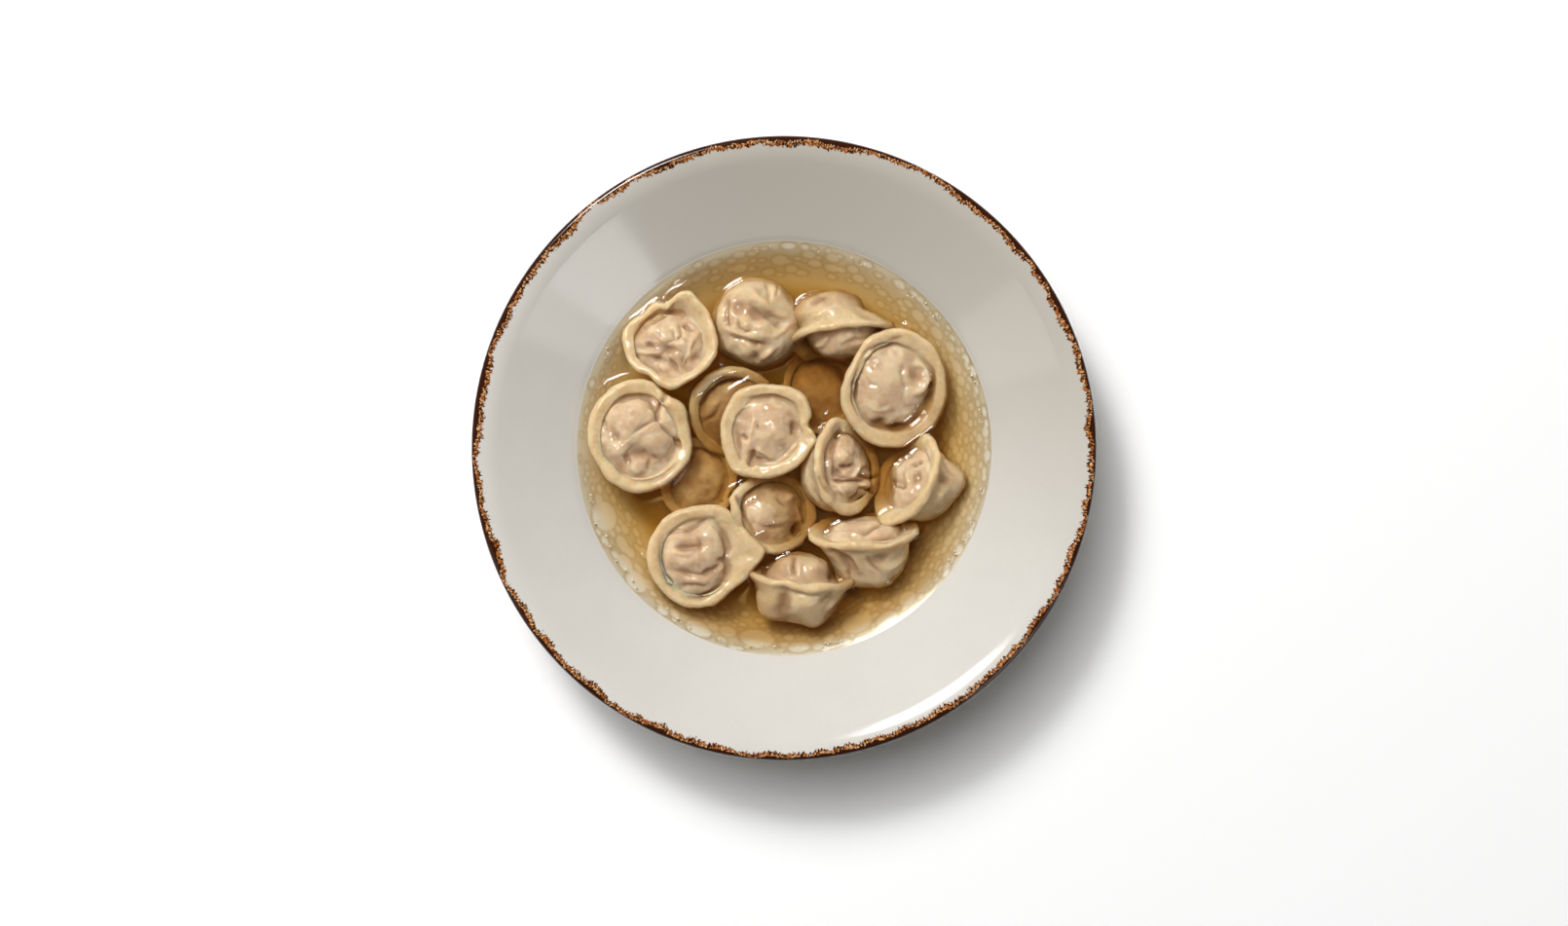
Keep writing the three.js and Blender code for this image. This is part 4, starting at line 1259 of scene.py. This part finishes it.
def pelmen_object(name, pelmen, seed, material):
    """One dumpling with its folds and wrinkles, as a closed mesh."""
    pelmen = {**USUAL, **pelmen}
    grid, stations = pelmen_grid(pelmen)
    normals = grid_normals(grid)
    pushed = sum((fold(grid[..., :2] - FOLDS_FROM) for fold in pelmen["folds"]), np.zeros(grid.shape[:2]))
    pushed *= unit_ramp(normals[..., 2], *FOLD_FACING)
    grid = grid + normals * pushed[..., None]
    thin = 1 - unit_ramp(np.abs(stations - THICK_STATION), *THICK_REACH)
    thin = np.repeat(thin, AROUND).reshape(pushed.shape)
    normals = grid_normals(grid)
    flat = grid.reshape(-1, 3)
    slack, crumples, fine = (
        layers(kind, flat, noises, seed).reshape(thin.shape)
        for kind, noises in ((gradient_noise, SLACK), (wrinkles, CRUMPLES), (gradient_noise, FINE))
    )
    slack *= np.interp(thin, (0, 1), SLACK_SHARES)
    crumples *= np.interp(thin, (0, 1), CRUMPLE_SHARES) * pelmen["crumple"]
    wrinkled = slack + crumples + fine
    grid = grid + normals * wrinkled[..., None]
    for end in (0, -1):
        grid[end] = grid[end].mean(axis=0)
    made = mesh_object(name, with_ends(grid), ring_faces(ROWS - 1, AROUND))
    # Painted shade: how deep each point lies in a fold or wrinkle, for the dough to be darkened there.
    shaded_hollow = np.clip(-(pushed + SHADED_HOLLOW_WRINKLES * wrinkled * thin) / SHADED_HOLLOW_DEPTH, 0, 1)
    # Broth colour under the broth and painted shade above it, from these heights down.
    starts, whole = pelmen["steep_and_shade_heights"]
    steep_and_shade = unit_ramp(grid[..., 2], BROTH_HEIGHT + starts, BROTH_HEIGHT + whole)
    filling = thin * np.where(stations > EDGE_STATION, BELLY_FILLING, 1)[:, None]
    for label, values in (("filling", filling), ("shaded_hollow", shaded_hollow), ("steep_and_shade", steep_and_shade)):
        set_point_values(made, label, with_ends(values))
    made.data.materials.append(material)
    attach(made, "root")
    return made


def boiled(name):
    """The name of the piece that stands for one of the solid model's dumplings."""
    return name.replace("pelmen_", "boiled_")


def crossings(made, height):
    """Where a mesh's edges pass through a height, in plan, in millimetres."""
    mesh = made.data
    points = np.empty(len(mesh.vertices) * 3)
    mesh.vertices.foreach_get("co", points)
    points = points.reshape(-1, 3) / MM
    edges = np.empty(len(mesh.edges) * 2, dtype=np.int64)
    mesh.edges.foreach_get("vertices", edges)
    first, second = points[edges[0::2]], points[edges[1::2]]
    crossing = (first[:, 2] > height) != (second[:, 2] > height)
    first, second = first[crossing], second[crossing]
    share = (height - first[:, 2:]) / (second[:, 2:] - first[:, 2:])
    return (first + share * (second - first))[:, :2]


def brim_edge(pelmen):
    """The outer edge of a dumpling's brim where it lies."""
    pelmen = {**USUAL, **pelmen}
    angles = np.arange(AROUND) * 360 / AROUND
    radii, heights = section_stations(pelmen, angles)[EDGE_STATION]
    turn = np.radians(angles)
    return placed(np.column_stack([radii * np.cos(turn), radii * np.sin(turn), heights]), pelmen)


def climb(contacts, reach, points):
    """How far the broth climbs at points in plan. A contact is where it touches, and how far it climbs."""
    tree = KDTree(len(contacts))
    for index, (x, y, _) in enumerate(contacts.tolist()):
        tree.insert((x, y, 0), index)
    tree.balance()
    heights = contacts[:, 2]
    rises = np.zeros(len(points))
    for index, (x, y) in enumerate(points.tolist()):
        found = tree.find_n((x, y, 0), CONTACTS_FELT)
        rises[index] = max(heights[which] * math.exp(-apart / reach) for _, which, apart in found)
    return rises


def zipped(inner, outer):
    """Triangles between two closed rings of point numbers that start at the same angle."""
    faces = []
    i = j = 0
    while i < len(inner) or j < len(outer):
        a, b = inner[i % len(inner)], outer[j % len(outer)]
        if j < len(outer) and (i >= len(inner) or (j + 1) / len(outer) <= (i + 1) / len(inner)):
            faces.append((a, b, outer[(j + 1) % len(outer)]))
            j += 1
        else:
            faces.append((a, b, inner[(i + 1) % len(inner)]))
            i += 1
    return faces


def broth_rise(plan, shore, level, settings):
    """How far the broth stands above its level at points in plan, so far from the shore: it climbs the
    bowl, the dumplings that it touches and the brims that it still holds."""
    creep, reach = settings.creep / MM, settings.creep_reach / MM
    contacts = []
    for name, pelmen in PELMENI.items():
        edge = crossings(bpy.data.objects[boiled(name)], level)
        contacts.append(np.column_stack([edge, np.full(len(edge), CONTACT_CLIMB * creep)]))
        brim = brim_edge(pelmen) - (0, 0, level)
        contacts.append(brim[(brim[:, 2] > 0) & (brim[:, 2] < settings.hold / MM)])
    near_shore = np.exp(-shore / reach)
    rise = np.maximum(creep * near_shore, climb(np.concatenate(contacts), reach, plan))
    return rise, 1 - near_shore


def disc_rings(radius, spacing):
    """Rings of evenly spread points in plan: 1, then 6, 12, 18 and so on."""
    count = round(radius / spacing)
    return [np.zeros((1, 2))] + [radius * k / count * circle(6 * k) for k in range(1, count + 1)]


def disc_faces(rings):
    """Triangles that join the rings of a disc, and the numbers of its outer ring."""
    starts = np.cumsum([0] + [len(ring) for ring in rings]).tolist()
    numbers = [list(range(start, end)) for start, end in zip(starts, starts[1:])]
    first = numbers[1]
    faces = [(0, a, b) for a, b in zip(first, first[1:] + first[:1])]
    for inner, outer in zip(numbers[1:], numbers[2:]):
        faces += zipped(inner, outer)
    return faces, numbers[-1]


def spot(sector, turn, out):
    """A point in plan, at a share of the way round and a share of the way out within a sector."""
    start, end, near_side, far_side = sector
    turn = math.radians(start + (end - start) * turn)
    out = near_side + (far_side - near_side) * out
    return out * math.cos(turn), out * math.sin(turn)


def fat_drops():
    """The drops that lie apart and those that crowd, as rows of x, y and half sizes."""
    drops = list(DROPS)
    chance = np.random.default_rng(DROPS_SEED)
    for *sector, tries, usual in SHOALS:
        for turn, out, size, slim in chance.random((tries, 4)):
            x, y = spot(sector, turn, out)
            long = usual * (DROP_LENGTHS[0] + DROP_LENGTHS[1] * size)
            short = long * (DROP_WIDTHS[0] + DROP_WIDTHS[1] * slim)
            taken = [(drop[:2], DROP_SPACING * (long + drop[2]) + DROP_GAP) for drop in drops]
            for pelmen in PELMENI.values():
                taken.append((pelmen["at"][:2], pelmen["radius"] + DROP_FROM_BRIM * long))
            if all(math.dist((x, y), middle) > room for middle, room in taken):
                drops.append((x, y, long, short))
    return drops


def drop_marks(plan, drops):
    """How far points in plan are inside a drop, on the line of painted shade round one, and how high it lifts
    them.
    """
    fat, rim, lift = np.zeros((3, len(plan)))
    for x, y, long, short in drops:
        offset = plan - (x, y)
        close = np.flatnonzero(np.abs(offset).max(axis=1) < long + DROP_REACH)
        along, across = turned(offset[close], math.atan2(x, -y))
        share = np.hypot(along / long, across / short)
        beyond = (share - 1) * short
        fat[close] = np.maximum(fat[close], unit_ramp(beyond, *DROP_EDGE))
        rim[close] = np.maximum(rim[close], np.exp(-(((beyond - DROP_LINE) / DROP_LINE_WIDTH) ** 2)))
        height = min(DROP_RISE * short, DROP_HIGHEST)
        lift[close] = np.maximum(lift[close], height * np.maximum(1 - share**4, 0))
    return fat, rim * (1 - fat), lift


def bead_mesh(beads):
    """Small round drops, each a low dome with a flat underside, as points and faces."""
    rings = [(*(out * way), up) for out, up in BEAD_RINGS for way in circle(BEAD_SIDES)]
    dome = np.array([*rings, (0, 0, 0), (0, 0, BEAD_TOP)])
    points = np.concatenate([dome * size + place for *place, size in beads])
    faces = ring_faces(len(BEAD_RINGS), BEAD_SIDES)
    starts = range(0, len(points), len(dome))
    return points, [[start + corner for corner in face] for start in starts for face in faces]


def panel_light(name, turn, height, distance, size, power):
    """An area light that stands so far from the bowl and faces it."""
    light = bpy.data.lights.new(name, "AREA")
    light.shape = "RECTANGLE"
    light.size, light.size_y = size
    light.energy = power
    way = Vector((math.cos(turn) * math.cos(height), math.sin(turn) * math.cos(height), math.sin(height)))
    made = bpy.data.objects.new(name, light)
    made.location = way * distance
    made.rotation_euler = way.to_track_quat("Z", "Y").to_euler()
    bpy.context.scene.collection.objects.link(made)
    return made


def colour_setting(name, description, default):
    """A colour that the user may change."""
    return FloatVectorProperty(name=name, description=description, default=default, subtype="COLOR")


def length_setting(name, description, default):
    """A length in metres that the user may change."""
    return FloatProperty(name=name, description=description, default=default, unit="LENGTH")


def angle_setting(name, description, degrees):
    """An angle that the user may change."""
    default = math.radians(degrees)
    return FloatProperty(name=name, description=description, default=default, subtype="ANGLE")


class PelmeniBowlSettings(bpy.types.PropertyGroup):
    """The bowl's size and the colours of its glaze"""

    rim_radius: length_setting("Rim radius", "Radius of the bowl's lip", 0.12)
    glaze: colour_setting("Glaze", "Colour of the glaze", (0.665, 0.64, 0.585))
    # Painted shade: the glaze's colour on the side where it is painted darker.
    glaze_shaded: colour_setting(
        "Thick glaze", "Colour of the glaze where it pooled", (0.52, 0.485, 0.42)
    )
    amber: colour_setting("Amber", "Thin speckles", (0.36, 0.1, 0.013))
    amber_pale: colour_setting("Pale amber", "The thinnest speckles", (0.68, 0.46, 0.24))
    brown: colour_setting("Brown", "Thick speckles and the lip", (0.035, 0.008, 0.002))
    film: colour_setting("Film", "What the broth's edge takes from the glaze", (1.0, 0.95, 0.86))
    steeped: colour_setting("Steeped", "What the broth's first depth takes", (1.0, 0.96, 0.94))
    # Broth colour and painted shade on the bowl's floor, in the gaps between the dumplings.
    deep_bed_tint_and_shade: colour_setting("Steeped deep", "The same on the bowl's floor", (0.72, 0.52, 0.17))
    # Painted shade on the bed at both ends.
    bed_shade_ends: colour_setting("Steeped side", "The same at both ends", (0.8, 0.65, 0.46))


class PelmeniDoughSettings(bpy.types.PropertyGroup):
    """The colours of the dough"""

    dough: colour_setting("Dough", "Thick dough", (0.635, 0.46, 0.243))
    dough_pale: colour_setting("Pale dough", "Thick dough where it is palest", (0.735, 0.58, 0.36))
    dough_thin: colour_setting("Thin dough", "Thin dough that has set white", (0.735, 0.575, 0.375))
    filling: colour_setting("Filling", "Thin dough over the filling", (0.57, 0.396, 0.25))
    # Painted shade in the dough's hollows and folds.
    shaded_hollow: colour_setting("Hollows", "Dough down in the folds", (0.4, 0.22, 0.11))
    # Broth colour on dough under the broth, and painted shade on its low sides above it.
    steeped_and_shaded: colour_setting("Soaked", "What the broth takes from dough under it", (0.57, 0.43, 0.25))


class PelmeniBrothSettings(bpy.types.PropertyGroup):
    """The broth's level and climb, its colour and its fat"""

    height: length_setting("Level", "Height of the broth", BROTH_HEIGHT * MM)
    spacing: length_setting("Spacing", "Size of its surface's faces", 0.0005)
    creep: length_setting("Creep", "How far it climbs what it wets", 0.0011)
    creep_reach: length_setting("Creep reach", "How far out that climb is felt", 0.0016)
    hold: length_setting("Hold", "How high a brim may stand and still be held by it", 0.0032)
    colour: colour_setting("Colour", "What it lets through", (0.94, 0.815, 0.45))
    density: FloatProperty(name="Density", description="How strongly it is coloured", default=70.0)
    # Partly the fat's own colour, partly painted light for the light the beads catch.
    fat: colour_setting("Fat", "Colour of the smallest beads", (0.84, 0.72, 0.5))
    between_drops: colour_setting("Between drops", "Light left between the drops", (0.9, 0.87, 0.8))
    round_drops: colour_setting("Round drops", "Light left round each drop", (0.8, 0.73, 0.6))


class PelmeniStageSettings(bpy.types.PropertyGroup):
    """The light that falls on the bowl"""

    key_turn: angle_setting("Key light's turn", "Where it stands round the bowl", 121)
    key_height: angle_setting("Key light's height", "How high it stands", 58)
    key_power: FloatProperty(
        name="Key light", description="Power of the key light in watts", default=116.0
    )
    sky: FloatProperty(
        name="Sky", description="Strength of the even light from all round", default=0.07
    )


class PelmeniBuildBowl(bpy.types.Operator):
    """Turn the bowl and glaze it"""

    bl_idname = "pelmeni.build_bowl"
    bl_label = "Bowl"

    def execute(self, context):
        points, faces = lathed(bowl_section(), BOWL_SIDES)
        made = mesh_object("glazed_bowl", points, faces, smooth_angle=40)
        made.data.materials.append(glaze_material(context.scene.pelmeni_bowl))
        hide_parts("bowl")
        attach(made, "root")
        return {"FINISHED"}


class PelmeniBuildDumplings(bpy.types.Operator):
    """Shape the dumplings, those that break the surface and those wholly under it"""

    bl_idname = "pelmeni.build_dumplings"
    bl_label = "Dumplings"

    def execute(self, context):
        material = dough_material(context.scene.pelmeni_dough)
        for seed, (name, pelmen) in enumerate({**PELMENI, **SUNK}.items()):
            made = pelmen_object(boiled(name) if name in PELMENI else name, pelmen, seed, material)
            if name in PELMENI:
                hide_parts(name)
        return {"FINISHED"}


class PelmeniPourBroth(bpy.types.Operator):
    """Fill the bowl with broth that creeps up what it touches"""

    bl_idname = "pelmeni.pour_broth"
    bl_label = "Broth"

    def execute(self, context):
        settings = context.scene.pelmeni_broth
        level = settings.height / MM
        brink = level + settings.creep / MM
        bed = into_wall(food_side(BED_STEPS), BROTH_SINKS)
        bed[0, 0] = 0
        above = int(np.argmax(bed[:, 1] > brink))
        shore_radius = float(np.interp(brink, bed[above - 1 : above + 1, 1], bed[above - 1 : above + 1, 0]))

        rings = disc_rings(shore_radius, settings.spacing / MM)
        plan = np.concatenate(rings)
        rise, away = broth_rise(plan, shore_radius - np.linalg.norm(plan, axis=1), level, settings)
        waves = WAVE_HEIGHT * gradient_noise(np.insert(plan, 2, 0, axis=1), WAVE_SIZE, WAVE_SEED)
        fat, drop_line_shade, lift = drop_marks(plan, fat_drops())
        points = [np.column_stack([plan, level + rise + (waves + lift) * away])]

        faces, outer = disc_faces(rings)
        start = len(plan)
        for radius, height in bed[above - 1 : 0 : -1]:
            ring = list(range(start, start + BED_SIDES))
            points.append(np.insert(radius * circle(BED_SIDES), 2, height, axis=1))
            faces += [face[::-1] for face in zipped(ring, outer)]
            outer = ring
            start += BED_SIDES
        points = np.concatenate([*points, [(0, 0, bed[0, 1])]])
        faces += [(start, b, a) for a, b in zip(outer, outer[1:] + outer[:1])]

        made = mesh_object("clear_broth", points, faces, smooth_angle=80)
        for label, values in (("fat", fat), ("drop_line_shade", drop_line_shade)):
            set_point_values(made, label, np.pad(values, (0, len(points) - len(plan))))
        made.data.materials.append(broth_material(settings))
        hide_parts("broth")
        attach(made, "root")
        return {"FINISHED"}


class PelmeniScatterBeads(bpy.types.Operator):
    """Scatter the smallest drops of fat along the shore"""

    bl_idname = "pelmeni.scatter_beads"
    bl_label = "Beads of fat"

    def execute(self, context):
        settings = context.scene.pelmeni_broth
        level = settings.height / MM + BEAD_LIFT
        chance = np.random.default_rng(BEADS_SEED)
        beads = []
        for *sector, count, usual in BEADS:
            for turn, out, share in chance.random((count, 3)):
                size = usual * (BEAD_SIZES[0] + BEAD_SIZES[1] * share)
                beads.append((*spot(sector, turn, out), level, size))
        points, faces = bead_mesh(beads)
        made = mesh_object("fat_beads", points, faces, smooth_angle=50)
        made.data.materials.append(fat_material(settings))
        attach(made, "root")
        return {"FINISHED"}


class PelmeniSetStage(bpy.types.Operator):
    """Lay the floor and set the lights and the camera"""

    bl_idname = "pelmeni.set_stage"
    bl_label = "Stage"

    def execute(self, context):
        settings = context.scene.pelmeni_stage
        scene = context.scene
        corners = np.insert(FLOOR_HALF * np.array([(-1, -1), (1, -1), (1, 1), (-1, 1)]), 2, 0, axis=1)
        floor = mesh_object("floor", corners, [(0, 1, 2, 3)])
        material, make = new_material("Pale floor")
        plain = make.shader("BsdfDiffuse", {"Color": WHITE})
        make.node("OutputMaterial", {"Surface": plain})
        floor.data.materials.append(material)
        world = bpy.data.worlds.new("Soft studio")
        world.use_nodes = True
        sky = world.node_tree.nodes["Background"]
        sky.inputs["Color"].default_value = rgba(SKY_COLOUR)
        sky.inputs["Strength"].default_value = settings.sky
        scene.world = world
        for index, (rise, width, share, shows) in enumerate(KEY_DISCS):
            height = settings.key_height + math.radians(rise)
            power = share * settings.key_power
            disc = panel_light(f"key_{index}", settings.key_turn, height, KEY_DISTANCE, (width, width), power)
            disc.data.shape = "DISK"
            disc.visible_glossy = shows
        for name, turn, height, size, power in PANELS:
            panel = panel_light(name, math.radians(turn), math.radians(height), PANEL_DISTANCE, size, power)
            panel.visible_diffuse = False
        camera = bpy.data.cameras.new("camera")
        camera.lens = CAMERA_LENS
        camera.sensor_width = CAMERA_SENSOR
        viewer = bpy.data.objects.new("camera", camera)
        viewer.location = Vector(CAMERA_AT) * MM
        scene.collection.objects.link(viewer)
        scene.camera = viewer
        scene.view_settings.view_transform = "Standard"
        return {"FINISHED"}


OPERATORS = (PelmeniBuildBowl, PelmeniBuildDumplings, PelmeniPourBroth, PelmeniScatterBeads, PelmeniSetStage)


class PelmeniPanel(bpy.types.Panel):
    """The pieces in the order that they are made"""

    bl_idname = "VIEW3D_PT_pelmeni"
    bl_label = "Pelmeni"
    bl_space_type = "VIEW_3D"
    bl_region_type = "UI"
    bl_category = "Pelmeni"

    def draw(self, context):
        for operator in OPERATORS:
            self.layout.operator(operator.bl_idname, text=operator.bl_label)


SETTINGS = {
    "pelmeni_bowl": PelmeniBowlSettings,
    "pelmeni_dough": PelmeniDoughSettings,
    "pelmeni_broth": PelmeniBrothSettings,
    "pelmeni_stage": PelmeniStageSettings,
}


def register():
    for kind in (*SETTINGS.values(), *OPERATORS, PelmeniPanel):
        bpy.utils.register_class(kind)
    for name, kind in SETTINGS.items():
        setattr(bpy.types.Scene, name, PointerProperty(type=kind))


def unregister():
    for name in SETTINGS:
        delattr(bpy.types.Scene, name)
    for kind in (PelmeniPanel, *reversed(OPERATORS), *reversed(SETTINGS.values())):
        bpy.utils.unregister_class(kind)


def main():
    register()
    bpy.ops.pelmeni.build_bowl()
    bpy.ops.pelmeni.build_dumplings()
    bpy.ops.pelmeni.pour_broth()
    bpy.ops.pelmeni.scatter_beads()
    bpy.ops.pelmeni.set_stage()


if __name__ == "__main__":
    main()
